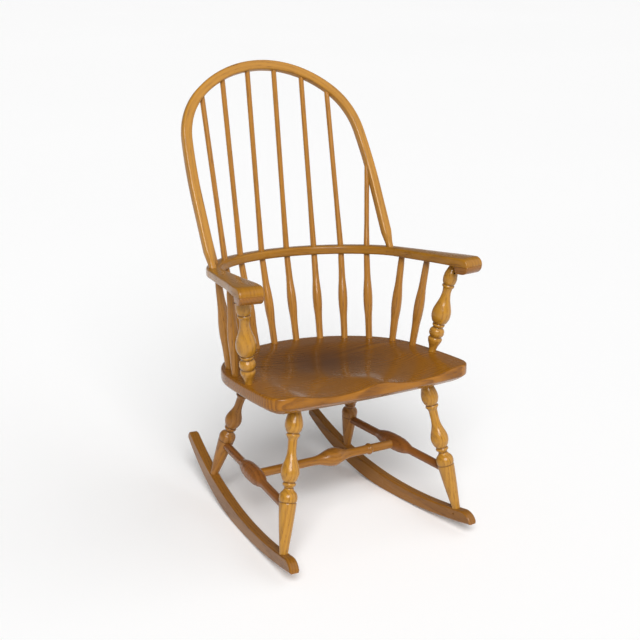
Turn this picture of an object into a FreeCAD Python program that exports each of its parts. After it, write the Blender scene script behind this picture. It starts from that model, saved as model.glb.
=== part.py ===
import FreeCAD, Part
import math
import os
import Sketcher
from FreeCAD import Placement, Rotation, Vector

# Driving dimensions, in millimetres and degrees.
# Sides and places are measured from the middle of the seat's top face, with the front towards -Y.
SIZES = (
    ("SeatHeight", 404.5, "middle of the seat's top above the floor, chair at rest"),
    ("SeatPitchAngle", 4.5, "how far the chair leans back at rest"),
    ("SeatWidth", 558, "widest part of the seat"),
    ("SeatBack", 237, "middle of the seat to its back edge"),
    ("SeatFront", 206, "middle of the seat to its front edge"),
    ("SeatThickness", 43, "plank"),
    ("SeatBand", 28, "upright part of the edge, below the eased corner's top"),
    ("SeatBevel", 26, "inset of the underside"),
    ("SeatEase", 4, "eased top corner"),
    ("HollowDepth", 14, "hollow for each thigh"),
    ("HollowWidth", 206, "thigh hollow across"),
    ("HollowLength", 480, "thigh hollow front to back, running out past the front edge"),
    ("HollowSpread", 112, "middle of the seat to the middle of a thigh hollow"),
    ("HollowAdvance", 112, "deepest place of a thigh hollow ahead of the seat's middle"),
    ("BowlDepth", 14, "bowl behind the thigh hollows"),
    ("BowlWidth", 400, "bowl across"),
    ("BowlLength", 300, "bowl front to back"),
    ("BowlSetback", 8, "bowl's deepest place behind the seat's middle"),
    ("GlueLine", 0.1, "gap round every tenon, filled with glue"),
    ("EndGap", 1, "space left at the bottom of a blind socket"),
    ("Overrun", 5, "how far a cutting tool passes the face it starts from"),
    ("FrontLegSpread", 182.5, "front leg's top from the seat's middle line, on the underside"),
    ("FrontLegAdvance", 126.6, "front leg's top ahead of the seat's middle"),
    ("RearLegSpread", 152.3, "rear leg's top from the middle line"),
    ("RearLegSetback", 139.4, "rear leg's top behind the seat's middle"),
    ("FrontLegWidth", 43, "front leg at its balls"),
    ("RearLegWidth", 41.5, "rear leg at its balls"),
    ("LegTenon", 26, "leg's top end in the seat"),
    ("LegTenonDepth", 27, "leg's top end above the underside"),
    ("LegFoot", 20.6, "leg's lower end where it meets the rocker"),
    ("FootInset", 4, "how far the foot's shoulder is let into the rocker"),
    ("FootTenon", 14, "tenon below the foot's shoulder"),
    ("FootTenonDepth", 22, "tenon's end below the rocker's top face"),
    ("StretcherTenon", 21, "side and centre stretcher at the ends"),
    ("StretcherSwell", 39.5, "side stretcher at its middle"),
    ("CentreRod", 22, "centre stretcher's rod"),
    ("CentreSwell", 46, "centre stretcher at its middle"),
    ("RockerSpread", 219.9, "rocker's middle plane from the middle line where it touches the floor"),
    ("RockerToeAngle", 6, "how much the rockers close towards the back"),
    ("RockerSetback", 42.3, "line of touch on the floor behind the seat's middle"),
    ("RockerFront", 310, "line of touch to the lower front corner, along the rocker"),
    ("RockerRear", 333, "line of touch to the lower rear corner"),
    ("RockerFrontRadius", 1510, "sole ahead of the line of touch"),
    ("RockerRearRadius", 612, "sole behind the line of touch"),
    ("RockerThickness", 24, "across"),
    ("RockerDepth", 38.5, "height at the line of touch"),
    ("RockerFrontNose", 31, "depth where the front nose begins to fall"),
    ("RockerNoseLength", 34, "fall of the front nose, along the rocker"),
    ("RockerTip", 5, "upright part of the front nose's tip"),
    ("RockerRearNose", 24, "depth at the rear end"),
    ("RockerEase", 3, "eased edges"),
    ("FrontFoot", 249, "front leg's foot ahead of the line of touch"),
    ("FrontFootDepth", 31.7, "rocker under the front foot"),
    ("RearFoot", 174.4, "rear leg's foot behind the line of touch"),
    ("RearFootDepth", 41.3, "rocker under the rear foot"),
    ("PinWidth", 5, "wooden pin"),
    ("RockerPinLength", 18, "pin through the rocker's inner side and the foot"),
    ("RoundEnd", 4, "straight part of every round end outside its socket"),
    ("RailHeight", 240.3, "arm rail's top above the seat's top"),
    ("RailPitchAngle", 2.3, "fall of the arm rail towards the back"),
    ("RailBack", 280, "middle of the seat to the rail's middle line at the back"),
    ("RailRadius", 285, "middle line of the back bow"),
    ("RailBowAngle", 55, "turn of the back bow on each side"),
    ("RailCornerRadius", 150, "tighter bend between the bow and the arm"),
    ("ArmSplayAngle", 10.2, "arms opening towards the front"),
    ("RailWidth", 34, "bow across"),
    ("RailThickness", 21, "bow and arms"),
    ("ArmLength", 254, "end of the tight bend to the hand's front"),
    ("ArmWidth", 62, "arm at its widest, over the post"),
    ("HandWidth", 56, "hand at the front"),
    ("HandLength", 50, "block under the hand, front to back"),
    ("HandThickness", 19, "block under the hand"),
    ("PostWidth", 48, "arm post at its vase"),
    ("PostTenon", 18, "arm post's lower end in the seat"),
    ("PostTop", 16.5, "arm post's upper end in the arm"),
    ("SpindleFoot", 17, "spindle's lower end in the seat"),
    ("SpindleNeck", 15.2, "spindle at the arm rail"),
    ("BendRoom", 0.6, "room for a spindle's bend in the rail's hole, all round"),
    ("SpindleTip", 12.6, "spindle's end in the hoop"),
    ("BackSwell", 23.7, "back spindle's swelling between seat and rail"),
    ("ArmSwell", 25.6, "arm spindle's swelling"),
    ("SeatSocket", 20, "spindle and post sockets in the seat, depth"),
    ("ArmSocket", 13, "spindle and post sockets under the arm, depth"),
    ("HoopLeanAngle", 23, "hoop's plane back from the rail's upright"),
    ("HoopWidth", 528.8, "outside of the hoop"),
    ("HoopHeight", 507, "rail's top to the top of the hoop, along its lean"),
    ("HoopFace", 24, "hoop's section in its own plane"),
    ("HoopDepth", 20, "hoop's section front to back"),
    ("HoopEase", 5, "rounded edges of the section"),
    ("HoopSideRadius", 1421, "outside of the slack curve above the straight sides"),
    ("HoopSideAngle", 6.3, "turn of the slack curve"),
    ("HoopShoulderRadius", 188, "outside of the shoulders"),
    ("HoopShoulderAngle", 42.8, "turn of a shoulder"),
    ("HoopTenon", 18, "round foot of the hoop in the rail"),
    ("HoopTenonDepth", 18, "hoop's foot below the rail's top"),
    ("HoopRound", 8, "round part of the hoop's foot above the rail"),
    ("HoopTaper", 55, "length over which the foot is pared round"),
    ("HoopParing", 33.8, "width of the paring cone where it runs out of the section"),
    ("HoopFootOffset", 2.1, "hoop's foot outside the rail's middle line"),
    ("HoopPinLength", 22, "pin through the rail's inner side and the hoop's foot"),
)

# Sections of the turned pieces, from the lower joint to the upper one:
# height as a share of the length between the joints, width as a share of the widest place,
# and the bow of the stretch that follows, as a share of its chord, outwards positive.
LEG_SHARES = (
    (0.18, 0.752, 0.001),
    (0.34, 0.95, 0.0),
    (0.347, 0.88, 0.0),
    (0.354, 0.95, 0.05),
    (0.385, 0.985, 0.07),
    (0.413, 0.8, -0.04),
    (0.436, 0.51, 0.0),
    (0.452, 0.51, 0.0),
    (0.456, 0.62, 0.22),
    (0.478, 0.66, 0.0),
    (0.482, 0.62, 0.0),
    (0.49, 0.7, 0.06),
    (0.515, 0.89, 0.05),
    (0.545, 1.0, 0.04),
    (0.585, 0.915, 0.01),
    (0.625, 0.7, -0.02),
    (0.665, 0.53, -0.02),
    (0.71, 0.48, 0.0),
    (0.765, 0.49, -0.05),
    (0.783, 0.6, 0.0),
    (0.789, 0.65, 0.22),
    (0.81, 0.68, 0.0),
    (0.814, 0.63, 0.0),
    (0.82, 0.7, 0.06),
    (0.845, 0.89, 0.05),
    (0.873, 0.965, 0.04),
    (0.91, 0.88, 0.02),
    (0.95, 0.7, -0.01),
    (0.985, 0.606, 0.0),
)
POST_SHARES = (
    (0.04, 0.42, -0.03),
    (0.085, 0.56, 0.03),
    (0.12, 0.69, 0.12),
    (0.158, 0.69, 0.0),
    (0.172, 0.6, 0.0),
    (0.184, 0.67, 0.12),
    (0.226, 0.77, 0.12),
    (0.264, 0.62, 0.0),
    (0.28, 0.51, 0.0),
    (0.293, 0.59, 0.22),
    (0.318, 0.6, 0.0),
    (0.322, 0.57, 0.0),
    (0.328, 0.64, 0.07),
    (0.362, 0.85, 0.06),
    (0.425, 0.98, 0.05),
    (0.5, 0.87, 0.01),
    (0.56, 0.68, -0.02),
    (0.62, 0.52, -0.02),
    (0.682, 0.45, -0.02),
    (0.728, 0.5, 0.0),
    (0.737, 0.57, 0.22),
    (0.764, 0.59, 0.0),
    (0.77, 0.55, 0.0),
    (0.778, 0.61, 0.06),
    (0.815, 0.7, 0.05),
    (0.86, 0.7, 0.04),
    (0.91, 0.6, 0.0),
    (0.95, 0.45, -0.02),
)
SPINDLE_SHARES = (
    (0.16, 0.735, -0.004),
    (0.25, 0.79, -0.004),
    (0.31, 0.88, 0.005),
    (0.37, 0.965, 0.004),
    (0.45, 1.0, 0.005),
    (0.53, 0.955, 0.004),
    (0.6, 0.855, -0.004),
    (0.67, 0.75, -0.003),
    (0.75, 0.7, -0.002),
    (0.87, 0.67, 0.0),
)
SIDE_SHARES = (
    (0.315, 0.532, 0.0),
    (0.345, 0.68, 0.03),
    (0.385, 0.87, 0.04),
    (0.43, 0.975, 0.03),
    (0.48, 1.0, 0.03),
    (0.53, 0.975, 0.04),
    (0.575, 0.87, 0.03),
    (0.615, 0.68, 0.0),
    (0.645, 0.532, 0.0),
)
CENTRE_SHARES = (
    (0.25, 0.48, 0.109),
    (0.264, 0.63, 0.109),
    (0.278, 0.48, 0.0),
    (0.4, 0.48, -0.02),
    (0.44, 0.56, -0.015),
    (0.475, 0.76, 0.016),
    (0.51, 0.94, 0.019),
    (0.54, 1.0, 0.029),
    (0.57, 0.9, 0.006),
    (0.6, 0.7, -0.019),
    (0.635, 0.54, -0.017),
    (0.67, 0.48, 0.0),
    (0.782, 0.48, 0.109),
    (0.796, 0.63, 0.109),
    (0.81, 0.48, 0.0),
)

# Bows of the rocker's noses and of its upper side, from back to front, as shares of each chord.
REAR_NOSE_BOW_SHARE = -0.36
UPPER_BOW_SHARES = (0.02, 0.022, 0.0285, 0.015)
FRONT_NOSE_BOW_SHARE = -0.17

# Upright radius of the balls that the seat's hollows are parts of, as a share of a hollow's depth.
HOLLOW_BALL_SHARE = 4

# The hand block's cove: its bow, and its foot's setback as a share of the block's thickness.
COVE_BOW_SHARE = 0.28
COVE_FOOT_SHARE = 0.3

# A back spindle above the rail: where its taper ends, and how far up its hoop socket is drilled,
# as shares of its length there.
TAPER_END_SHARE = 0.3
HOOP_SOCKET_SHARE = 0.5

# Corners of the seat's outline on the right half, back to front, as shares of half its width and
# of its back or front reach, each with the bow of the arc that follows.
SEAT_BACK_SHARES = ((0.742, 0.667, 0.093), (0.968, 0.148, 0.018))
SEAT_FRONT_SHARES = ((0.993, 0.728, 0.186), (0.853, 0.942, 0.025))
SEAT_BACK_BOW_SHARE = 0.191
QUARTER_BOW_SHARE = 0.2071

# Places of the sockets in the seat's top, as shares of half its width and of its back reach.
BACK_SPINDLE_SEAT_SHARES = ((0.115, 0.947), (0.334, 0.874), (0.533, 0.748), (0.718, 0.594))
ARM_SPINDLE_SEAT_SHARES = ((0.845, 0.368), (0.907, 0.103))
POST_SEAT_SHARE = (0.927, -0.209)

# Turn of the back bow at each back spindle, as a share of the bow's turn on its side.
BACK_SPINDLE_BOW_SHARES = (0.133, 0.4, 0.655, 0.9)
# Places along the arm, as shares of its length, and the arm's width there as a share of its widest.
ARM_SPINDLE_ARM_SHARES = (0.05, 0.39)
POST_ARM_SHARE = 0.735
ARM_WIDTH_SHARES = ((0.16, 0.64), (0.36, 0.735), (0.56, 0.81), (0.78, 1.0))

# Back spindles' tips on the hoop: from the middle plane as shares of half the hoop's width,
# and the last one on the straight side, with its height as a share of the hoop's.
HOOP_TIP_SHARES = (0.142, 0.424, 0.672)
SIDE_TIP_SHARES = (0.9225, 0.435)

# Height of the side stretchers on the legs, as a share of each leg's length from its foot.
STRETCHER_LEG_SHARE = 0.303

doc = FreeCAD.newDocument("HoopBackRockingChair")
sheet = doc.addObject("Spreadsheet::Sheet", "Sizes")
for row, (alias, value, note) in enumerate(SIZES, start=1):
    sheet.set(f"A{row}", note)
    sheet.set(f"B{row}", str(value))
    sheet.setAlias(f"B{row}", alias)
doc.recompute()


def size(alias):
    return float(getattr(sheet, alias))


X_AXIS = Vector(1, 0, 0)
Z_AXIS = Vector(0, 0, 1)
SIDES = (("left", -1), ("right", 1))

# The seat's own frame, leaning back over the floor, and the arm rail's frame above it.
seat_frame = Placement(Vector(0, 0, size("SeatHeight")), Rotation(X_AXIS, -size("SeatPitchAngle")))
rail_frame = seat_frame * Placement(
    Vector(0, 0, size("RailHeight")), Rotation(X_AXIS, -size("RailPitchAngle"))
)


def rocker_frame(side):
    foot = Vector(side * size("RockerSpread"), size("RockerSetback"), 0)
    return Placement(foot, Rotation(Z_AXIS, side * size("RockerToeAngle")))


def along(start, end):
    """Placement at start whose Z axis runs to end."""
    return Placement(start, Rotation(Z_AXIS, end - start))


def chain(sketch, rows):
    """Closed outline of lines and arcs through rows of (across, up, bow of the next stretch)."""
    places = []
    for across, up, bow in rows:
        x = float(sketch.evalExpression(across))
        y = float(sketch.evalExpression(up))
        places.append(Vector(x, y, 0))
    count = len(rows)
    starts = []
    for index in range(count):
        start = places[index]
        end = places[(index + 1) % count]
        bow = rows[index][2]
        starts.append(2 if bow > 0 else 1)
        if bow == 0:
            sketch.addGeometry(Part.LineSegment(start, end))
            continue
        chord = end - start
        middle = (start + end) / 2 + Vector(-chord.y, chord.x, 0) * bow
        ends = (end, middle, start) if bow > 0 else (start, middle, end)
        sketch.addGeometry(Part.Arc(*ends))
    for index in range(count):
        after = (index + 1) % count
        sketch.addConstraint(
            Sketcher.Constraint("Coincident", index, 3 - starts[index], after, starts[after])
        )
    for index, (across, up, bow) in enumerate(rows):
        first = starts[index]
        pin_place(sketch, index, first, f"across{index}", "DistanceX", across, places[index].x)
        pin_place(sketch, index, first, f"up{index}", "DistanceY", up, places[index].y)
        if bow == 0:
            continue
        next_across, next_up, _ = rows[(index + 1) % count]
        chord = f"sqrt((({next_across}) - ({across}))^2 + (({next_up}) - ({up}))^2)"
        factor = (1 + 4 * bow * bow) / (8 * abs(bow))
        radius = sketch.Geometry[index].Radius
        number = sketch.addConstraint(Sketcher.Constraint("Radius", index, radius))
        sketch.renameConstraint(number, f"radius{index}")
        sketch.setExpression(f"Constraints.radius{index}", f"{chord} * {factor:.8f}")


def pin_place(sketch, geometry, end, name, kind, expression, value):
    if value == 0:
        axis = -2 if kind == "DistanceX" else -1
        sketch.addConstraint(Sketcher.Constraint("PointOnObject", geometry, end, axis))
        return
    number = sketch.addConstraint(Sketcher.Constraint(kind, -1, 1, geometry, end, value))
    sketch.renameConstraint(number, name)
    sketch.setExpression(f"Constraints.{name}", expression)


def new_sketch(body, name, role):
    sketch = body.newObject("Sketcher::SketchObject", name)
    plane = next(item for item in body.Origin.OriginFeatures if item.Role == role)
    sketch.AttachmentSupport = [(plane, "")]
    sketch.MapMode = "FlatFace"
    return sketch


def stations(width, shares):
    """Outline rows of a turned piece from its table of shares."""
    rows = []
    for height, thickness, bow in shares:
        rows.append((f"Sizes.{width} / 2 * {thickness}", f".Span * {height}", -bow))
    return rows


def turned(name, start, end, rows):
    """Piece turned on the lathe, from start to end, with rows from its lower end to its upper end."""
    body = doc.addObject("PartDesign::Body", name)
    sketch = new_sketch(body, f"{name}_section", "XZ_Plane")
    sketch.addProperty("App::PropertyFloat", "Span", "Base", "length between the joints")
    sketch.Span = start.distanceToPoint(end)
    lower = ("0", rows[0][1], 0.0)
    upper = ("0", rows[-1][1], 0.0)
    chain(sketch, [lower] + rows + [upper])
    solid = body.newObject("PartDesign::Revolution", f"{name}_turning")
    solid.Profile = sketch
    solid.ReferenceAxis = (sketch, ["V_Axis"])
    solid.Angle = 360
    sketch.Visibility = False
    body.Placement = along(start, end)
    return body


def drill(name, diameter, depth, start, towards, overrun=True):
    """Round cutting tool from start towards a point, as wide as the tenon and its glue."""
    tool = doc.addObject("Part::Cylinder", name)
    tool.setExpression("Radius", f"({diameter}) / 2 + Sizes.GlueLine")
    direction = (towards - start).normalize()
    if overrun:
        start = start - direction * size("Overrun")
        depth = f"{depth} + Sizes.Overrun"
    tool.setExpression("Height", depth)
    tool.Placement = along(start, start + direction)
    return tool


def fused(name, shapes):
    if len(shapes) == 1:
        return shapes[0]
    result = doc.addObject("Part::MultiFuse", name)
    result.Shapes = shapes
    return result


def cut(name, base, tools):
    result = doc.addObject("Part::Cut", name)
    result.Base = base
    result.Tool = fused(f"{name}_tools", tools)
    return result


def outline_feature(name, shape, placement):
    """Curve that a solid is drawn from."""
    feature = doc.addObject("Part::Feature", name)
    feature.Shape = shape
    feature.Placement = placement
    return feature


pieces = {}
seat_tools = []
rail_tools = []
hoop_tools = []
rocker_tools = {"left": [], "right": []}
rocker_pins = []


# Rocker: sole of two arcs meeting at the line of touch, noses rounded, upper side in four arcs.
def sole_height(reach, radius):
    return f"{radius} - sqrt({radius}^2 - ({reach})^2)"


FRONT_SOLE = "Sizes.RockerFrontRadius"
REAR_SOLE = "Sizes.RockerRearRadius"
front_foot_height = sole_height("Sizes.FrontFoot", FRONT_SOLE) + " + Sizes.FrontFootDepth"
rear_foot_height = sole_height("Sizes.RearFoot", REAR_SOLE) + " + Sizes.RearFootDepth"


def sole_bow(reach, radius):
    """Bow of the sole's arc from the line of touch to its end."""
    turn = math.asin(size(reach) / size(radius))
    return math.tan(turn / 4) / 2


front_nose_height = sole_height("Sizes.RockerFront", FRONT_SOLE)
FRONT_NOSE_START = "(Sizes.RockerFront - Sizes.RockerNoseLength)"
fall_start_height = sole_height(FRONT_NOSE_START, FRONT_SOLE) + " + Sizes.RockerFrontNose"
rear_nose_height = sole_height("Sizes.RockerRear", REAR_SOLE)
rear_nose_lean = "asin(Sizes.RockerRear / Sizes.RockerRearRadius)"


def rocker_rows(inset):
    """Outline from the line of touch backwards over the rear nose, the legs and the front nose."""
    rear = f"(Sizes.RockerRear - {inset})"
    front = f"-(Sizes.RockerFront - {inset})"
    return (
        ("0", inset, -sole_bow("RockerRear", "RockerRearRadius")),
        (rear, f"{rear_nose_height} + {inset}", REAR_NOSE_BOW_SHARE),
        (
            f"{rear} - Sizes.RockerRearNose * sin({rear_nose_lean})",
            f"{rear_nose_height} + Sizes.RockerRearNose * cos({rear_nose_lean}) - {inset}",
            UPPER_BOW_SHARES[0],
        ),
        ("Sizes.RearFoot", f"{rear_foot_height} - {inset}", UPPER_BOW_SHARES[1]),
        ("0", f"Sizes.RockerDepth - {inset}", UPPER_BOW_SHARES[2]),
        ("-Sizes.FrontFoot", f"{front_foot_height} - {inset}", UPPER_BOW_SHARES[3]),
        (f"-{FRONT_NOSE_START}", f"{fall_start_height} - {inset}", FRONT_NOSE_BOW_SHARE),
        (front, f"{front_nose_height} + Sizes.RockerTip", 0.0),
        (front, f"{front_nose_height} + {inset}", -sole_bow("RockerFront", "RockerFrontRadius")),
    )


# The rocker's edges are eased, so its faces are a little lower than its middle.
ROCKER_LEVELS = (
    ("inner", "Sizes.RockerEase", "-Sizes.RockerThickness / 2"),
    ("inner_edge", "0", "-Sizes.RockerThickness / 2 + Sizes.RockerEase"),
    ("outer_edge", "0", "Sizes.RockerThickness / 2 - Sizes.RockerEase"),
    ("outer", "Sizes.RockerEase", "Sizes.RockerThickness / 2"),
)


def layered(name, role, rows_for, levels, placement):
    """Solid through outlines at several levels, joined straight."""
    body = doc.addObject("PartDesign::Body", name)
    outlines = []
    for level, inset, offset in levels:
        sketch = new_sketch(body, f"{name}_{level}", role)
        sketch.setExpression("AttachmentOffset.Base.z", offset)
        chain(sketch, rows_for(inset))
        sketch.Visibility = False
        outlines.append(sketch)
    loft = body.newObject("PartDesign::AdditiveLoft", f"{name}_loft")
    loft.Profile = outlines[0]
    loft.Sections = outlines[1:]
    loft.Ruled = True
    body.Placement = placement
    return body


rocker_blanks = {}
for side_name, side in SIDES:
    name = f"rocker_{side_name}_blank"
    rocker_blanks[side_name] = layered(name, "YZ_Plane", rocker_rows, ROCKER_LEVELS, rocker_frame(side))

# Seat: plank with an upright band and a bevelled underside, in four outlines joined straight.
def seat_rows(inset):
    right = []
    for across, reach, bow in SEAT_BACK_SHARES:
        right.append((across, f"(Sizes.SeatBack - {inset}) * {reach}", bow))
    for across, reach, bow in SEAT_FRONT_SHARES:
        right.append((across, f"-(Sizes.SeatFront - {inset}) * {reach}", bow))
    half = f"(Sizes.SeatWidth / 2 - {inset})"
    rows = [(f"{half} * {across}", up, bow) for across, up, bow in right]
    left_bows = [bow for _, _, bow in right[-2::-1]] + [SEAT_BACK_BOW_SHARE]
    for (across, up, _), bow in zip(reversed(right), left_bows):
        rows.append((f"-{half} * {across}", up, bow))
    return rows


SEAT_LEVELS = (
    ("top", "Sizes.SeatEase", "0"),
    ("band_top", "0", "-Sizes.SeatEase"),
    ("band_foot", "0", "-Sizes.SeatBand"),
    ("underside", "Sizes.SeatBevel", "-Sizes.SeatThickness"),
)
plank = layered("seat_plank", "XY_Plane", seat_rows, SEAT_LEVELS, seat_frame)


# A ball drawn out so that it cuts as deep, wide and long a hollow as asked.
def hollow(name, which, across, ahead):
    tool = doc.addObject("Part::Ellipsoid", name)
    rise = HOLLOW_BALL_SHARE - 1
    spread = math.sqrt(1 - (rise / HOLLOW_BALL_SHARE) ** 2)
    tool.setExpression("Radius1", f"Sizes.{which}Depth * {HOLLOW_BALL_SHARE}")
    tool.setExpression("Radius2", f"Sizes.{which}Length / 2 / {spread}")
    tool.setExpression("Radius3", f"Sizes.{which}Width / 2 / {spread}")
    middle = Vector(across, -ahead, rise * size(f"{which}Depth"))
    tool.Placement = seat_frame * Placement(middle, Rotation(Z_AXIS, 90))
    return tool


for side_name, side in SIDES:
    spread = side * size("HollowSpread")
    seat_tools.append(hollow(f"thigh_hollow_{side_name}", "Hollow", spread, size("HollowAdvance")))
seat_tools.append(hollow("seat_bowl", "Bowl", 0, -size("BowlSetback")))


def seat_place(across_share, back_share):
    """Point on the seat's top, by shares of its half width and back reach."""
    across = size("SeatWidth") / 2 * across_share
    return seat_frame.multVec(Vector(across, size("SeatBack") * back_share, 0))


# Legs: one profile, the foot's shoulder let into the rocker and the upper end into the seat.
leg_axes = {}
leg_bodies = {}
leg_tools = {}


def foot_place(side, reach, sole_radius, depth):
    height = size(sole_radius) - math.sqrt(size(sole_radius) ** 2 - reach ** 2) + size(depth)
    return rocker_frame(side).multVec(Vector(0, reach, height))


LEG_ENDS = (
    ("front", "FrontLegWidth", "FrontLegSpread", "FrontLegAdvance", -1),
    ("rear", "RearLegWidth", "RearLegSpread", "RearLegSetback", 1),
)
LEG_FOOT_ROWS = [
    ("Sizes.FootTenon / 2", "-Sizes.FootTenonDepth", 0.0),
    ("Sizes.FootTenon / 2", "-Sizes.FootInset", 0.0),
    ("Sizes.LegFoot / 2", "-Sizes.FootInset", 0.0),
    ("Sizes.LegFoot / 2", "Sizes.RoundEnd", 0.0),
]
LEG_HEAD_ROWS = [("Sizes.LegTenon / 2", ".Span + Sizes.LegTenonDepth", 0.0)]
for side_name, side in SIDES:
    feet = {
        "front": foot_place(side, -size("FrontFoot"), "RockerFrontRadius", "FrontFootDepth"),
        "rear": foot_place(side, size("RearFoot"), "RockerRearRadius", "RearFootDepth"),
    }
    for end_name, width, spread, reach, backwards in LEG_ENDS:
        name = f"{end_name}_leg_{side_name}"
        under = Vector(side * size(spread), backwards * size(reach), -size("SeatThickness"))
        top = seat_frame.multVec(under)
        foot = feet[end_name]
        rows = LEG_FOOT_ROWS + stations(width, LEG_SHARES) + LEG_HEAD_ROWS
        leg_axes[name] = (foot, top)
        leg_bodies[name] = turned(f"{name}_turned", foot, top, rows)
        leg_tools[name] = []
        up = top + (top - foot)
        seat_tools.append(drill(f"{name}_seat_socket", "Sizes.LegTenon",
                                "Sizes.LegTenonDepth + Sizes.EndGap", top, up))
        down = foot + (foot - top)
        rocker_tools[side_name].append(
            drill(f"{name}_shoulder_socket", "Sizes.LegFoot", "Sizes.FootInset", foot, down)
        )
        rocker_tools[side_name].append(
            drill(f"{name}_tenon_socket", "Sizes.FootTenon",
                  "Sizes.FootTenonDepth + Sizes.EndGap", foot, down)
        )
        middle = (size("FootInset") + size("FootTenonDepth")) / 2
        through = foot + (foot - top).normalize() * middle
        outwards = rocker_frame(side).Rotation.multVec(X_AXIS) * side
        inner_face = through - outwards * (size("RockerThickness") / 2)
        hole = drill(f"{name}_pin_hole", "Sizes.PinWidth", "Sizes.RockerPinLength",
                     inner_face, inner_face + outwards)
        rocker_tools[side_name].append(hole)
        leg_tools[name].append(hole)
        pin = doc.addObject("Part::Cylinder", f"{name}_pin")
        pin.setExpression("Radius", "Sizes.PinWidth / 2")
        pin.setExpression("Height", "Sizes.RockerPinLength")
        pin.Placement = along(inner_face, inner_face + outwards)
        rocker_pins.append(pin)


# Stretchers: one along each side from leg to leg, and one across between their swellings.
def on_leg(name):
    foot, top = leg_axes[name]
    return foot + (top - foot) * STRETCHER_LEG_SHARE


def rod_rows(end_width, shares, swell):
    ends = f"Sizes.{end_width} / 2"
    return [(ends, "0", 0.0)] + stations(swell, shares) + [(ends, ".Span", 0.0)]


side_middles = {}
side_bodies = {}
for side_name, side in SIDES:
    rear = on_leg(f"rear_leg_{side_name}")
    front = on_leg(f"front_leg_{side_name}")
    name = f"side_stretcher_{side_name}"
    rows = rod_rows("StretcherTenon", SIDE_SHARES, "StretcherSwell")
    side_bodies[side_name] = turned(f"{name}_turned", rear, front, rows)
    side_middles[side_name] = (rear + front) / 2
    for end_name, start, other in (("rear", rear, front), ("front", front, rear)):
        beyond = start + (start - other).normalize() * size("EndGap")
        leg = f"{end_name}_leg_{side_name}"
        leg_tools[leg].append(drill(f"{leg}_stretcher_socket", "Sizes.StretcherTenon",
                                    f"Sizes.{end_name.title()}LegWidth", beyond, other, overrun=False))
left, right = side_middles["left"], side_middles["right"]
rows = rod_rows("CentreRod", CENTRE_SHARES, "CentreSwell")
pieces["centre_stretcher"] = turned("centre_stretcher", left, right, rows)
for side_name, start, other in (("left", left, right), ("right", right, left)):
    beyond = start + (start - other).normalize() * size("EndGap")
    tool = drill(f"centre_socket_{side_name}", "Sizes.CentreRod", "Sizes.StretcherSwell",
                 beyond, other, overrun=False)
    name = f"side_stretcher_{side_name}"
    pieces[name] = cut(name, side_bodies[side_name], [tool])
for name, body in leg_bodies.items():
    pieces[name] = cut(name, body, leg_tools[name])
for side_name, side in SIDES:
    name = f"rocker_{side_name}"
    pieces[name] = cut(name, rocker_blanks[side_name], rocker_tools[side_name])
pins = doc.addObject("Part::Compound", "rocker_pins")
pins.Links = rocker_pins
pieces["rocker_pins"] = pins


# Arm rail: back bow, a tighter bend on each side and the splayed arms, widening to the hands.
def polar(middle, radius, angle):
    """Point at an angle in degrees from straight back, turning to the right."""
    turn = math.radians(angle)
    return Vector(middle.x + radius * math.sin(turn), middle.y + radius * math.cos(turn), 0)


BOW_ANGLE = size("RailBowAngle")
BEND_END = 90 - size("ArmSplayAngle")
half_width = size("RailWidth") / 2
bow_middle = Vector(0, size("RailBack") - size("RailRadius"), 0)
bend_middle = polar(bow_middle, size("RailRadius") - size("RailCornerRadius"), BOW_ANGLE)
arm_start = polar(bend_middle, size("RailCornerRadius"), BEND_END)
splay = math.radians(size("ArmSplayAngle"))
arm_forward = Vector(math.sin(splay), -math.cos(splay), 0)
arm_outward = Vector(math.cos(splay), math.sin(splay), 0)


def arm_point(share, sideways):
    return arm_start + arm_forward * (size("ArmLength") * share) + arm_outward * sideways


def mirrored(point, side):
    return Vector(point.x * side, point.y, point.z)


def rail_edge(sign, side):
    """One long edge of the rail on one side, from the middle of the bow to the hand."""
    offset = sign * half_width
    bow = [polar(bow_middle, size("RailRadius") + offset, BOW_ANGLE * part) for part in (0, 0.5, 1)]
    turn = BEND_END - BOW_ANGLE
    bend = [
        polar(bend_middle, size("RailCornerRadius") + offset, BOW_ANGLE + turn * part)
        for part in (0, 0.5, 1)
    ]
    arm = [bend[-1]]
    for share, width_share in ARM_WIDTH_SHARES:
        arm.append(arm_point(share, sign * size("ArmWidth") / 2 * width_share))
    arm.append(arm_point(1, sign * size("HandWidth") / 2))
    bow, bend, arm = [[mirrored(point, side) for point in line] for line in (bow, bend, arm)]
    curve = Part.BSplineCurve()
    curve.interpolate(arm)
    return [Part.Arc(*bow).toShape(), Part.Arc(*bend).toShape(), curve.toShape()], arm[-1]


edges = []
for _, side in SIDES:
    outer, outer_end = rail_edge(1, side)
    inner, inner_end = rail_edge(-1, side)
    edges += outer + inner + [Part.makeLine(outer_end, inner_end)]
rail_wire = Part.Wire(Part.sortEdges(edges)[0])
rail_outline = outline_feature("rail_outline", rail_wire, rail_frame)
rail_board = doc.addObject("Part::Extrusion", "rail_board")
rail_board.Base = rail_outline
rail_board.DirMode = "Custom"
rail_board.Dir = rail_frame.Rotation.multVec(-Z_AXIS)
rail_board.Solid = True
rail_board.setExpression("LengthFwd", "Sizes.RailThickness")


def arm_frame(side):
    """Frame at the hand's front, Y running back along the arm."""
    place = mirrored(arm_point(1, 0), side)
    return rail_frame * Placement(place, Rotation(Z_AXIS, side * size("ArmSplayAngle")))


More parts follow.
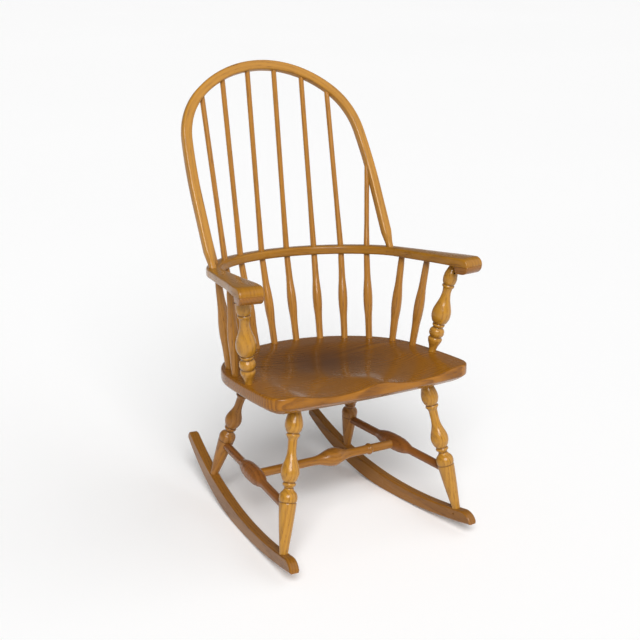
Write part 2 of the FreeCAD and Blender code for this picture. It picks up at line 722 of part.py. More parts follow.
# Hands: the arm's end and the block below it share one rolled front.
ROLL = "((Sizes.RailThickness + Sizes.HandThickness) / 2)"
for side_name, side in SIDES:
    roll_radius = (size("RailThickness") + size("HandThickness")) / 2
    front = doc.addObject("Part::Box", f"hand_front_{side_name}")
    front.setExpression("Length", "Sizes.ArmWidth * 2")
    front.setExpression("Width", f"{ROLL} + Sizes.Overrun")
    front.setExpression("Height", "Sizes.RailThickness + Sizes.HandThickness")
    corner = Vector(-size("ArmWidth"), -size("Overrun"), -size("RailThickness") - size("HandThickness"))
    front.Placement = arm_frame(side) * Placement(corner, Rotation())
    roll = doc.addObject("Part::Cylinder", f"hand_roll_{side_name}")
    roll.setExpression("Radius", ROLL)
    roll.setExpression("Height", "Sizes.ArmWidth * 2 + Sizes.Overrun")
    middle = Vector(-size("ArmWidth"), roll_radius, -roll_radius)
    roll.Placement = arm_frame(side) * Placement(middle, Rotation(Vector(0, 1, 0), 90))
    rail_tools.append(cut(f"hand_rounding_{side_name}", front, [roll]))
    name = f"hand_block_{side_name}"
    block = doc.addObject("PartDesign::Body", name)
    sketch = new_sketch(block, f"{name}_outline", "YZ_Plane")
    under = "-Sizes.RailThickness"
    below = "-(Sizes.RailThickness + Sizes.HandThickness)"
    chain(sketch, [
        ("Sizes.HandLength", under, COVE_BOW_SHARE),
        (f"Sizes.HandLength - Sizes.HandThickness * {COVE_FOOT_SHARE}", below, 0.0),
        (ROLL, below, -QUARTER_BOW_SHARE),
        (f"{ROLL} - sqrt({ROLL}^2 - (Sizes.RailThickness - {ROLL})^2)", under, 0.0),
    ])
    pad = block.newObject("PartDesign::Pad", f"{name}_pad")
    pad.Profile = sketch
    pad.Midplane = True
    pad.setExpression("Length", "Sizes.HandWidth")
    block.Placement = arm_frame(side)
    pieces[name] = block


# Posts and arm spindles: from the seat into blind sockets under the arm.
def arm_under(share, side):
    point = mirrored(arm_point(share, 0), side)
    return rail_frame.multVec(point - Z_AXIS * size("RailThickness"))


def stick(name, start, end, foot_width, head_width, width, shares):
    rows = [
        (f"Sizes.{foot_width} / 2", "-Sizes.SeatSocket", 0.0),
        (f"Sizes.{foot_width} / 2", "Sizes.RoundEnd", 0.0),
    ]
    rows += stations(width, shares)
    rows += [
        (f"Sizes.{head_width} / 2", ".Span - Sizes.RoundEnd", 0.0),
        (f"Sizes.{head_width} / 2", ".Span + Sizes.ArmSocket", 0.0),
    ]
    pieces[name] = turned(name, start, end, rows)
    seat_tools.append(drill(f"{name}_seat_socket", f"Sizes.{foot_width}",
                            "Sizes.SeatSocket + Sizes.EndGap", start, start + (start - end)))
    rail_tools.append(drill(f"{name}_arm_socket", f"Sizes.{head_width}",
                            "Sizes.ArmSocket + Sizes.EndGap", end, end + (end - start)))


for side_name, side in SIDES:
    across, back = POST_SEAT_SHARE
    stick(f"arm_post_{side_name}", seat_place(side * across, back), arm_under(POST_ARM_SHARE, side),
          "PostTenon", "PostTop", "PostWidth", POST_SHARES)
    places = zip(("rear", "front"), ARM_SPINDLE_SEAT_SHARES, ARM_SPINDLE_ARM_SHARES)
    for end_name, (across, back), arm_share in places:
        stick(f"arm_spindle_{end_name}_{side_name}", seat_place(side * across, back),
              arm_under(arm_share, side), "SpindleFoot", "SpindleNeck", "ArmSwell", SPINDLE_SHARES)


# Hoop: straight sides, a slack curve, a shoulder and the top, all in one leaning plane.
def rail_setback(across, outside):
    """How far back a line outside the rail's middle line lies, at a distance across the chair."""
    bow_radius = size("RailRadius") + outside
    bend_radius = size("RailCornerRadius") + outside
    arm = polar(bend_middle, bend_radius, BEND_END)
    if across < polar(bow_middle, bow_radius, BOW_ANGLE).x:
        return bow_middle.y + math.sqrt(bow_radius ** 2 - across ** 2)
    if across < arm.x:
        return bend_middle.y + math.sqrt(bend_radius ** 2 - (across - bend_middle.x) ** 2)
    return arm.y + (across - arm.x) / arm_forward.x * arm_forward.y


hoop_foot_spread = (size("HoopWidth") - size("HoopFace")) / 2
hoop_foot_setback = rail_setback(hoop_foot_spread, size("HoopFootOffset"))
hoop_frame = rail_frame * Placement(
    Vector(0, hoop_foot_setback, 0), Rotation(X_AXIS, 90 - size("HoopLeanAngle"))
)
inside = size("HoopFace") / 2
side_radius = size("HoopSideRadius")
shoulder_radius = size("HoopShoulderRadius")
slack_turn = math.radians(size("HoopSideAngle"))
full_turn = slack_turn + math.radians(size("HoopShoulderAngle"))
half_span = size("HoopWidth") / 2
slack_inset = side_radius * (1 - math.cos(slack_turn))
shoulder_inset = shoulder_radius * (math.cos(slack_turn) - math.cos(full_turn))
crown_radius = (half_span - slack_inset - shoulder_inset) / math.cos(full_turn)
shoulder_rise = shoulder_radius * (math.sin(full_turn) - math.sin(slack_turn))
crown_rise = crown_radius * (1 - math.sin(full_turn))
straight = size("HoopHeight") - crown_rise - shoulder_rise - side_radius * math.sin(slack_turn)
slack_middle = Vector(half_span - side_radius, straight, 0)
shoulder_middle = slack_middle + Vector(math.cos(slack_turn), math.sin(slack_turn), 0) * (
    side_radius - shoulder_radius
)
crown_middle = Vector(0, size("HoopHeight") - crown_radius, 0)


def hoop_arc(middle, radius, start, end):
    """Three points of the hoop's middle line, by angles up from level."""
    points = []
    for part in (0, 0.5, 1):
        turn = start + (end - start) * part
        points.append(middle + Vector(math.cos(turn), math.sin(turn), 0) * (radius - inside))
    return points


slack_points = hoop_arc(slack_middle, side_radius, 0, slack_turn)
shoulder_points = hoop_arc(shoulder_middle, shoulder_radius, slack_turn, full_turn)
crown_points = hoop_arc(crown_middle, crown_radius, full_turn, math.pi - full_turn)
hoop_tenon = -Vector(0, size("HoopTenonDepth"), 0)
right_foot = Vector(hoop_foot_spread, 0, 0) + hoop_tenon
path = [Part.makeLine(right_foot, slack_points[0])]
path += [Part.Arc(*slack_points).toShape(), Part.Arc(*shoulder_points).toShape()]
path += [Part.Arc(*crown_points).toShape()]
for points in (shoulder_points, slack_points):
    path.append(Part.Arc(*[mirrored(point, -1) for point in reversed(points)]).toShape())
path.append(Part.makeLine(mirrored(slack_points[0], -1), mirrored(right_foot, -1)))
hoop_path = outline_feature("hoop_path", Part.Wire(path), hoop_frame)
section = doc.addObject("Sketcher::SketchObject", "hoop_section")
section.Placement = hoop_frame * Placement(right_foot, Rotation(X_AXIS, 90))
across = "Sizes.HoopFace / 2"
through = "Sizes.HoopDepth / 2"
corner_rows = []
for x_sign, y_sign, turn_first in (("", "-", True), ("", "", False), ("-", "", True), ("-", "-", False)):
    near_side = (f"{x_sign}({across} - Sizes.HoopEase)", f"{y_sign}({through})")
    near_end = (f"{x_sign}({across})", f"{y_sign}({through} - Sizes.HoopEase)")
    first, second = (near_side, near_end) if turn_first else (near_end, near_side)
    corner_rows += [(*first, -QUARTER_BOW_SHARE), (*second, 0.0)]
chain(section, corner_rows)
hoop_bow = doc.addObject("Part::Sweep", "hoop_bow")
hoop_bow.Sections = [section]
hoop_bow.Spine = (hoop_path, [f"Edge{number + 1}" for number in range(len(path))])
hoop_bow.Solid = True
for side_name, side in SIDES:
    foot = mirrored(right_foot, side)
    up = Vector(0, 1, 0)
    start = hoop_frame.multVec(foot - up * size("Overrun"))
    ahead = hoop_frame.multVec(foot)
    sleeve = doc.addObject("Part::Cylinder", f"hoop_sleeve_{side_name}")
    sleeve.setExpression("Radius", "Sizes.HoopFace + Sizes.HoopDepth")
    reach = "Sizes.HoopTenonDepth + Sizes.Overrun + Sizes.HoopRound"
    sleeve.setExpression("Height", f"{reach} + Sizes.HoopTaper")
    sleeve.Placement = along(start, ahead)
    core = doc.addObject("Part::Cylinder", f"hoop_round_{side_name}")
    core.setExpression("Radius", "Sizes.HoopTenon / 2")
    core.setExpression("Height", reach)
    core.Placement = along(start, ahead)
    taper = doc.addObject("Part::Cone", f"hoop_taper_{side_name}")
    taper.setExpression("Radius1", "Sizes.HoopTenon / 2")
    taper.setExpression("Radius2", "Sizes.HoopParing / 2")
    taper.setExpression("Height", "Sizes.HoopTaper")
    taper_start = foot + up * (size("HoopTenonDepth") + size("HoopRound"))
    taper.Placement = along(hoop_frame.multVec(taper_start), hoop_frame.multVec(taper_start + up))
    end = fused(f"hoop_end_{side_name}", [core, taper])
    hoop_tools.append(cut(f"hoop_paring_{side_name}", sleeve, [end]))
    rail_top = foot - hoop_tenon
    rail_tools.append(drill(f"hoop_socket_{side_name}", "Sizes.HoopTenon",
                            "Sizes.HoopTenonDepth + Sizes.EndGap",
                            hoop_frame.multVec(rail_top), hoop_frame.multVec(foot)))

# Pins through the rail's inner side into the hoop's feet.
hoop_pins = []
for side_name, side in SIDES:
    sunk = math.tan(math.radians(size("HoopLeanAngle"))) * size("RailThickness") / 2
    tenon = Vector(hoop_foot_spread, hoop_foot_setback - sunk, 0)
    outwards = (tenon - bend_middle).normalize()
    inner_face = bend_middle + outwards * (size("RailCornerRadius") - half_width)
    inner_face = mirrored(inner_face, side) - Z_AXIS * (size("RailThickness") / 2)
    inner_face = rail_frame.multVec(inner_face)
    outwards = rail_frame.Rotation.multVec(mirrored(outwards, side))
    hole = drill(f"hoop_pin_hole_{side_name}", "Sizes.PinWidth", "Sizes.HoopPinLength",
                 inner_face, inner_face + outwards)
    rail_tools.append(hole)
    hoop_tools.append(hole)
    pin = doc.addObject("Part::Cylinder", f"hoop_pin_{side_name}")
    pin.setExpression("Radius", "Sizes.PinWidth / 2")
    pin.setExpression("Height", "Sizes.HoopPinLength")
    pin.Placement = along(inner_face, inner_face + outwards)
    hoop_pins.append(pin)
pins = doc.addObject("Part::Compound", "hoop_pins")
pins.Links = hoop_pins
pieces["hoop_pins"] = pins


# Back spindles: turned below the rail, slender above it, sprung slightly where they pass it.
def crown_place(angle):
    """Point of the hoop's middle line, by its angle up from level on the crown or a shoulder."""
    turn = math.radians(angle)
    middle, radius = crown_middle, crown_radius
    if turn < full_turn:
        middle, radius = shoulder_middle, shoulder_radius
    return middle + Vector(math.cos(turn), math.sin(turn), 0) * (radius - inside)


for side_name, side in SIDES:
    tips = []
    for share in HOOP_TIP_SHARES:
        x = half_span * share
        if x < (crown_radius - inside) * math.cos(full_turn):
            turn = math.acos(x / (crown_radius - inside))
        else:
            turn = math.acos((x - shoulder_middle.x) / (shoulder_radius - inside))
        tips.append(crown_place(math.degrees(turn)))
    tips.append(Vector(half_span * SIDE_TIP_SHARES[0], size("HoopHeight") * SIDE_TIP_SHARES[1], 0))
    places = zip(BACK_SPINDLE_SEAT_SHARES, BACK_SPINDLE_BOW_SHARES, tips)
    for number, ((across, back), bow_share, tip) in enumerate(places, start=1):
        name = f"back_spindle_{side_name}_{number}"
        base = seat_place(side * across, back)
        bow_point = mirrored(polar(bow_middle, size("RailRadius"), BOW_ANGLE * bow_share), side)
        knee = rail_frame.multVec(bow_point - Z_AXIS * (size("RailThickness") / 2))
        tip = hoop_frame.multVec(mirrored(tip, side))
        neck = "Sizes.SpindleNeck / 2"
        lower_rows = [
            ("Sizes.SpindleFoot / 2", "-Sizes.SeatSocket", 0.0),
            ("Sizes.SpindleFoot / 2", "Sizes.RoundEnd", 0.0),
        ]
        lower_rows += stations("BackSwell", SPINDLE_SHARES)
        lower_rows += [
            (neck, ".Span - Sizes.RailThickness / 2 - Sizes.RoundEnd", 0.0),
            (neck, ".Span", 0.0),
        ]
        lower = turned(f"{name}_lower", base, knee, lower_rows)
        upper_rows = [
            (neck, "0", 0.0),
            (neck, "Sizes.RailThickness / 2 + Sizes.RoundEnd", 0.0),
            ("Sizes.SpindleTip / 2", f".Span * {TAPER_END_SHARE}", 0.0),
            ("Sizes.SpindleTip / 2", ".Span", 0.0),
        ]
        upper = turned(f"{name}_upper", knee, tip, upper_rows)
        bend = doc.addObject("Part::Sphere", f"{name}_bend")
        bend.setExpression("Radius", f"{neck} + Sizes.GlueLine * 2")
        bend.Placement = Placement(knee, Rotation())
        pieces[name] = fused(name, [lower, bend, upper])
        seat_tools.append(drill(f"{name}_seat_socket", "Sizes.SpindleFoot",
                                "Sizes.SeatSocket + Sizes.EndGap", base, base + (base - knee)))
        mean = (tip - knee).normalize() + (knee - base).normalize()
        mean = mean.normalize() * size("RailThickness")
        rail_tools.append(drill(f"{name}_hole", "Sizes.SpindleNeck + Sizes.BendRoom * 2",
                                "Sizes.RailThickness * 2", knee - mean, knee, overrun=False))
        tip_end = tip + (tip - knee).normalize() * size("EndGap")
        reach = tip_end.distanceToPoint(knee) * HOOP_SOCKET_SHARE
        hoop_tools.append(drill(f"{name}_hoop_socket", "Sizes.SpindleTip", str(reach), tip_end, knee,
                                overrun=False))

pieces["hoop"] = cut("hoop", hoop_bow, hoop_tools)
pieces["arm_rail"] = cut("arm_rail", rail_board, rail_tools)
pieces["seat"] = cut("seat", plank, seat_tools)
doc.recompute()

# Stand the chair so that the middle of its bounding box is over the origin.
bounds = FreeCAD.BoundBox()
for piece in pieces.values():
    bounds.add(piece.Shape.optimalBoundingBox(False))
centring = Placement(Vector(0, -bounds.Center.y, 0), Rotation())
for name, piece in pieces.items():
    piece.Label = name
    piece.Placement = centring * piece.Placement
doc.recompute()

for item in doc.Objects:
    assert not {"Invalid", "Error"} & set(item.State), f"{item.Name} {item.State}"
os.makedirs("parts", exist_ok=True)
total = Vector()
volume = 0
for name, piece in sorted(pieces.items()):
    shape = piece.Shape
    assert not shape.isNull() and shape.isValid(), name
    solids = shape.Solids
    print(f"{name:24s} solids {len(solids)} volume {shape.Volume / 1000:8.1f} cm3")
    for solid in solids:
        total += solid.CenterOfMass * solid.Volume
        volume += solid.Volume
    shape.exportStep(f"parts/{name}.step")
middle = total * (1 / volume)
print("centre of mass", [round(value, 1) for value in middle])
print("line of touch", round(size("RockerSetback") - bounds.Center.y, 1))
print("lowest", round(bounds.ZMin, 3))
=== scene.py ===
from math import asin, ceil, cos, exp, hypot, log, pi, radians, sin, sqrt

import bpy
from mathutils import Matrix, Vector


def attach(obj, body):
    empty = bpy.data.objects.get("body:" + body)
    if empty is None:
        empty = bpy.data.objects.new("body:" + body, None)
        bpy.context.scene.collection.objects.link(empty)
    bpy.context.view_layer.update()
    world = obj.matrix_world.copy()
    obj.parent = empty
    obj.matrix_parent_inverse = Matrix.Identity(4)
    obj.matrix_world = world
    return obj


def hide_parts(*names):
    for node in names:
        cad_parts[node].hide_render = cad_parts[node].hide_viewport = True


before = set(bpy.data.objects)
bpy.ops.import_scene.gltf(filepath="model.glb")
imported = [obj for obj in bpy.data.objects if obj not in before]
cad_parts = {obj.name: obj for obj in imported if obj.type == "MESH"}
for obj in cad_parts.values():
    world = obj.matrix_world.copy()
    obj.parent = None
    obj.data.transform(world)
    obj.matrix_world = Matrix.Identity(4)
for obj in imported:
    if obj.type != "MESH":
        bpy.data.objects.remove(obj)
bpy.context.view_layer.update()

# Seat: an oak plank glued up from boards with the grain running across, sawn to a shield shape.
# Its top is hollowed for the thighs and hips, with a low ridge left between them at the front,
# and the whole is stained and lacquered to a gloss, with painted shade darkening the dish's middle.
SEAT_MIDDLE = -0.0686
SEAT_HEIGHT = 0.4045
SEAT_PITCH = 4.5
SEAT_WIDTH = 0.558
SEAT_BACK = 0.237
SEAT_FRONT = 0.206
SEAT_THICKNESS = 0.043
SEAT_BAND = 0.028
SEAT_BEVEL = 0.026
SEAT_ROUND = 0.005
SEAT_WALL = 0.006
SEAT_CORNERS = ((0.742, 0.667, 0.093), (0.968, 0.148, 0.018), (0.993, -0.728, 0.186), (0.853, -0.942, 0.025))
SEAT_BACK_BOW = 0.191
OUTLINE_STEP = 0.008
HOLLOW_LIFT = 3
HOLLOW_RIM_SHARE = 0.6614
HOLLOW_BLEND = 0.0016
HOLLOWS = (
    ((-0.112, -0.112), 0.014, 0.206, 0.48),
    ((0.112, -0.112), 0.014, 0.206, 0.48),
    ((0, 0.008), 0.014, 0.4, 0.3),
)
seat_frame = Matrix.Translation((0, SEAT_MIDDLE, SEAT_HEIGHT)) @ Matrix.Rotation(radians(-SEAT_PITCH), 4, "X")


def node(tree, kind, inputs=None, **settings):
    """A node with its settings, and its inputs linked or set."""
    made = tree.nodes.new(kind)
    for name, value in settings.items():
        setattr(made, name, value)
    for socket, value in (inputs or {}).items():
        if isinstance(value, bpy.types.NodeSocket):
            tree.links.new(value, made.inputs[socket])
        else:
            made.inputs[socket].default_value = value
    return made


def bowed(start, end, bow, step):
    """Points from start up to end along an arc that bulges left of the way by bow times the chord."""
    chord = end - start
    count = max(1, ceil(chord.length / step))
    if not bow:
        return [start + chord * (i / count) for i in range(count)]
    left = Vector((-chord.y, chord.x))
    radius = chord.length * (1 + 4 * bow * bow) / (8 * abs(bow))
    half = asin(chord.length / 2 / radius)
    centre = start + chord / 2 - left.normalized() * (radius * cos(half) * (1 if bow > 0 else -1))
    spoke = start - centre
    sweep = -2 * half if bow > 0 else 2 * half
    points = []
    for i in range(count):
        turn = sweep * i / count
        points.append(centre + Vector((spoke.x * cos(turn) - spoke.y * sin(turn),
                                       spoke.x * sin(turn) + spoke.y * cos(turn))))
    return points


def piece_from(name, points, faces, grain, material, replaced, painted_shade=None):
    """A mesh piece in place, with its own grain coordinates, standing for one CAD node."""
    mesh = bpy.data.meshes.new(name)
    mesh.from_pydata(points, [], faces)
    mesh.attributes.new("grain", "FLOAT_VECTOR", "POINT").data.foreach_set(
        "vector", [value for place in grain for value in place])
    # Painted shade, if given, is stored for the finish to darken the colour by.
    if painted_shade:
        mesh.attributes.new("painted_shade", "FLOAT", "POINT").data.foreach_set("value", painted_shade)
    mesh.shade_smooth()
    mesh.materials.append(material)
    piece = bpy.data.objects.new(name, mesh)
    bpy.context.scene.collection.objects.link(piece)
    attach(piece, "root")
    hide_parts(replaced)
    return piece


def oak_grain():
    """Stained oak: growth rings round a far pith, open pores drawn out along the grain, and stain, with painted
    shade darkening grooves and hollows.
    """
    group = bpy.data.node_groups.new("stained oak", "ShaderNodeTree")
    sockets = (
        ("Place", "NodeSocketVector", (0, 0, 0)),
        ("Pale", "NodeSocketColor", (0.5, 0.24, 0.05, 1)),
        ("Deep", "NodeSocketColor", (0.2, 0.07, 0.015, 1)),
        ("Ring spacing", "NodeSocketFloat", 0.005),
        ("Pith distance", "NodeSocketFloat", 0.05),
        ("Wander", "NodeSocketFloat", 0.01),
        ("Ring strength", "NodeSocketFloat", 0.6),
        ("Gloss", "NodeSocketFloat", 0.3),
        ("Painted shade", "NodeSocketFloat", 0.0),
    )
    for name, kind, value in sockets:
        group.interface.new_socket(name, in_out="INPUT", socket_type=kind).default_value = value
    for name, kind in (("Colour", "NodeSocketColor"), ("Roughness", "NodeSocketFloat"),
                       ("Relief", "NodeSocketFloat")):
        group.interface.new_socket(name, in_out="OUTPUT", socket_type=kind)
    given = group.nodes.new("NodeGroupInput").outputs

    def vector(operation, a, b):
        return node(group, "ShaderNodeVectorMath", {0: a, 1: b}, operation=operation).outputs[0]

    def value(operation, a, b, clamp=False):
        return node(group, "ShaderNodeMath", {0: a, 1: b}, operation=operation, use_clamp=clamp).outputs[0]

    def noise(scale, detail, stretch):
        place = vector("MULTIPLY", given["Place"], stretch)
        return node(group, "ShaderNodeTexNoise", {"Vector": place, "Scale": scale, "Detail": detail}).outputs

    def ramp(fac, start, end):
        made = node(group, "ShaderNodeMapRange", {"Value": fac, "From Min": start, "From Max": end},
                    interpolation_type="SMOOTHSTEP")
        return made.outputs[0]

    def mixed(fac, a, b, blend="MIX"):
        made = node(group, "ShaderNodeMix", {0: fac, 6: a, 7: b}, data_type="RGBA", blend_type=blend)
        return made.outputs[2]

    drift = vector("SUBTRACT", noise(scale=9, detail=2, stretch=(1, 1, 0.28))["Color"], (0.5, 0.5, 0.5))
    drift = node(group, "ShaderNodeVectorMath", {0: drift, "Scale": given["Wander"]}, operation="SCALE").outputs[0]
    flat = vector("MULTIPLY", vector("ADD", given["Place"], drift), (1, 1, 0.02))
    pith = node(group, "ShaderNodeCombineXYZ", {"X": given["Pith distance"]}).outputs[0]
    away = vector("SUBTRACT", flat, pith)
    reach = node(group, "ShaderNodeVectorMath", {0: away}, operation="LENGTH").outputs["Value"]
    phase = value("FRACT", value("DIVIDE", reach, given["Ring spacing"]), 0)
    fading = value("SUBTRACT", 1, ramp(phase, start=0.2, end=0.75))
    early = value("MULTIPLY", ramp(phase, start=0, end=0.12), fading)
    pores = ramp(noise(scale=900, detail=1, stretch=(1, 1, 0.035))["Fac"], start=0.56, end=0.68)
    pores = value("MULTIPLY", pores, value("ADD", value("MULTIPLY", early, 0.75), 0.25))
    fibre = noise(scale=260, detail=3, stretch=(1, 1, 0.03))["Fac"]
    cloud = ramp(noise(scale=14, detail=3, stretch=(1, 1, 0.35))["Fac"], start=0.3, end=0.7)
    line = value("MULTIPLY", early, given["Ring strength"])
    line = value("MULTIPLY", line, value("ADD", value("MULTIPLY", fibre, 0.9), 0.55))
    colour = mixed(line, given["Pale"], given["Deep"])
    shade = value("MULTIPLY", value("SUBTRACT", fibre, 0.5), 0.5)
    shade = value("ADD", shade, value("MULTIPLY", cloud, 0.16))
    colour = mixed(value("ADD", shade, 0.1, clamp=True), colour, mixed(0.75, colour, given["Deep"]))
    dark = mixed(1.0, given["Deep"], (0.34, 0.26, 0.2, 1), "MULTIPLY")
    colour = mixed(value("MULTIPLY", pores, 0.65, clamp=True), colour, dark)
    # Painted shade: darkens the grooves of turned pieces and the middle of the seat's dish.
    colour = mixed(value("MULTIPLY", given["Painted shade"], 0.8, clamp=True), colour, dark)
    rough = value("ADD", given["Gloss"], value("MULTIPLY", value("SUBTRACT", cloud, 0.5), 0.08))
    rough = value("ADD", rough, value("MULTIPLY", pores, 0.2), clamp=True)
    worn = value("ADD", pores, value("MULTIPLY", early, 0.25))
    relief = value("SUBTRACT", value("MULTIPLY", fibre, 0.35), worn)
    node(group, "NodeGroupOutput", {"Colour": colour, "Roughness": rough, "Relief": relief})
    return group


oak = oak_grain()


def finish_wood(name, pale, deep, turn=None, shift=(0, 0, 0), coat=0.2, **grain):
    """A lacquered oak finish, by the piece's own grain coordinates or by its place turned to the grain."""
    material = bpy.data.materials.new(name)
    material.use_nodes = True
    tree = material.node_tree
    shader = tree.nodes["Principled BSDF"]
    if turn is None:
        place = node(tree, "ShaderNodeAttribute", attribute_name="grain").outputs["Vector"]
    else:
        own = node(tree, "ShaderNodeTexCoord").outputs["Object"]
        place = node(tree, "ShaderNodeMapping", {"Vector": own, "Location": shift,
                                                 "Rotation": [radians(angle) for angle in turn]}).outputs[0]
    # Painted shade stored on the mesh, dark in the grooves and in the seat's dish.
    painted_shade = node(tree, "ShaderNodeAttribute", attribute_name="painted_shade").outputs["Fac"]
    values = {"Place": place, "Painted shade": painted_shade, "Pale": (*pale, 1), "Deep": (*deep, 1)}
    values.update({label.replace("_", " ").capitalize(): value for label, value in grain.items()})
    wood = node(tree, "ShaderNodeGroup", node_tree=oak)
    for socket, value in values.items():
        if isinstance(value, bpy.types.NodeSocket):
            tree.links.new(value, wood.inputs[socket])
        else:
            wood.inputs[socket].default_value = value
    bump = node(tree, "ShaderNodeBump", {"Height": wood.outputs["Relief"], "Strength": 0.5,
                                         "Distance": 0.0002})
    tree.links.new(wood.outputs["Colour"], shader.inputs["Base Color"])
    tree.links.new(wood.outputs["Roughness"], shader.inputs["Roughness"])
    tree.links.new(bump.outputs["Normal"], shader.inputs["Normal"])
    shader.inputs["Specular IOR Level"].default_value = 0.25
    shader.inputs["Coat Weight"].default_value = coat
    shader.inputs["Coat Roughness"].default_value = 0.09
    return material


def seat_outline():
    """The plank's edge seen from above, clockwise from the back right corner."""
    right = []
    for across, reach, bow in SEAT_CORNERS:
        along = SEAT_BACK if reach > 0 else SEAT_FRONT
        right.append((Vector((across * SEAT_WIDTH / 2, reach * along)), bow))
    bows = [bow for _, bow in right[-2::-1]] + [SEAT_BACK_BOW]
    left = [(Vector((-place.x, place.y)), bow) for (place, _), bow in zip(reversed(right), bows)]
    corners = right + left
    points = []
    for index, (place, bow) in enumerate(corners):
        points += bowed(place, corners[(index + 1) % len(corners)][0], bow, OUTLINE_STEP)
    for _ in range(3):
        points = [(points[i - 1] + point * 2 + points[(i + 1) % len(points)]) / 4
                  for i, point in enumerate(points)]
    return points


def dish_depth(x, y):
    """How far the hollows go down below the plank's top, run into each other softly."""
    total = 1.0
    for (across, back), depth, width, length in HOLLOWS:
        reach = (((x - across) * 2 * HOLLOW_RIM_SHARE / width) ** 2
                 + ((y - back) * 2 * HOLLOW_RIM_SHARE / length) ** 2)
        cut = (HOLLOW_LIFT + 1) * depth * sqrt(max(0.0, 1 - reach)) - HOLLOW_LIFT * depth
        total += exp(cut / HOLLOW_BLEND)
    return HOLLOW_BLEND * log(total)


outline = seat_outline()
count = len(outline)
normals = []
for i in range(count):
    way = outline[(i + 1) % count] - outline[i - 1]
    normals.append(Vector((-way.y, way.x)).normalized())
rings = []
for share in [0.02] + [0.04 * step for step in range(1, 25)] + [0.98]:
    rings.append([(point - turned * SEAT_ROUND) * share for point, turned in zip(outline, normals)])
tops = [[(p.x, p.y, -dish_depth(p.x, p.y)) for p in ring] for ring in rings]
ROUND_STEPS = 6
for part in range(ROUND_STEPS + 1):
    turn = pi / 2 * part / ROUND_STEPS
    edge = []
    for point, turned in zip(outline, normals):
        place = point - turned * (SEAT_ROUND * (1 - sin(turn)))
        edge.append((place.x, place.y, -dish_depth(place.x, place.y) - SEAT_ROUND * (1 - cos(turn))))
    tops.append(edge)
UNDERSIDE = (
    (0, 0.012), (0, SEAT_BAND - 0.007), (0.0006, SEAT_BAND - 0.003), (0.0026, SEAT_BAND),
    (0.0055, SEAT_BAND + 0.0022), (0.014, 0.0365), (0.0225, 0.0408), (SEAT_BEVEL, SEAT_THICKNESS - 0.0004),
    (0.03, SEAT_THICKNESS), (0.08, SEAT_THICKNESS), (0.14, SEAT_THICKNESS),
)
for inset, drop in UNDERSIDE:
    edge = []
    for point, turned in zip(outline, normals):
        place = point - turned * inset
        edge.append((place.x, place.y, -max(drop, dish_depth(point.x, point.y) + SEAT_WALL)))
    tops.append(edge)
points = [(0, 0, -dish_depth(0, 0))] + [place for ring in tops for place in ring]
points.append((0, 0, -SEAT_THICKNESS))
faces = [(0, 1 + i, 1 + (i + 1) % count) for i in range(count)]
for ring in range(len(tops) - 1):
    start = 1 + ring * count
    for i in range(count):
        after = (i + 1) % count
        faces.append((start + i, start + count + i, start + count + after, start + after))
last = 1 + (len(tops) - 1) * count
faces += [(len(points) - 1, last + (i + 1) % count, last + i) for i in range(count)]
seat_oak = finish_wood("seat oak", (0.34, 0.13, 0.007), (0.11, 0.034, 0.003), ring_spacing=0.009,
                       pith_distance=0.07, wander=0.07, ring_strength=0.5, gloss=0.27)
# Painted shade: darker in the middle of the dish, towards the back.
DISH_SHADE_WIDTH = 0.19
DISH_SHADE_LENGTH = 0.14
DISH_SHADE_BACK = 0.06
grain = [(y, z * 1.2, x + 0.5) for x, y, z in points]
dish_shade = [exp(-(x / DISH_SHADE_WIDTH) ** 2 - ((y - DISH_SHADE_BACK) / DISH_SHADE_LENGTH) ** 2) for x, y, z in points]
placed = [seat_frame @ Vector(point) for point in points]
piece_from("seat_plank", placed, faces, grain, seat_oak, "seat", dish_shade)

# Rockers: sawn from flat boards to a long curve, their edges eased and their noses sloped off.
# Stained like the rest, with the grain straight along the board.
ROCKER_TOE = 6
for side, name in ((-1, "rocker_left"), (1, "rocker_right")):
    rocker_oak = finish_wood(f"{name} oak", (0.27, 0.11, 0.013), (0.11, 0.038, 0.006),
                             turn=(90, side * ROCKER_TOE, 0), shift=(side * 0.2, 0, 0.3),
                             ring_spacing=0.007, pith_distance=0.09, wander=0.012, ring_strength=0.25, gloss=0.3)
    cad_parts[name].data.materials.clear()
    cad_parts[name].data.materials.append(rocker_oak)

# Legs: turned on the lathe from oak squares, with two balls, rings and a long taper to the foot.
# The upper end is glued into the seat and the foot's shoulder is let into the rocker.
LEG_PROFILE = (
    (0.18, 0.752, 0.001), (0.34, 0.95, 0), (0.347, 0.88, 0), (0.354, 0.95, 0.05), (0.385, 0.985, 0.07),
    (0.413, 0.8, -0.04), (0.436, 0.51, 0), (0.452, 0.51, 0), (0.456, 0.62, 0.22), (0.478, 0.66, 0),
    (0.482, 0.62, 0), (0.49, 0.7, 0.06), (0.515, 0.89, 0.05), (0.545, 1, 0.04), (0.585, 0.915, 0.01),
    (0.625, 0.7, -0.02), (0.665, 0.53, -0.02), (0.71, 0.48, 0), (0.765, 0.49, -0.05), (0.783, 0.6, 0),
    (0.789, 0.65, 0.22), (0.81, 0.68, 0), (0.814, 0.63, 0), (0.82, 0.7, 0.06), (0.845, 0.89, 0.05),
    (0.873, 0.965, 0.04), (0.91, 0.88, 0.02), (0.95, 0.7, -0.01), (0.985, 0.606, 0),
)


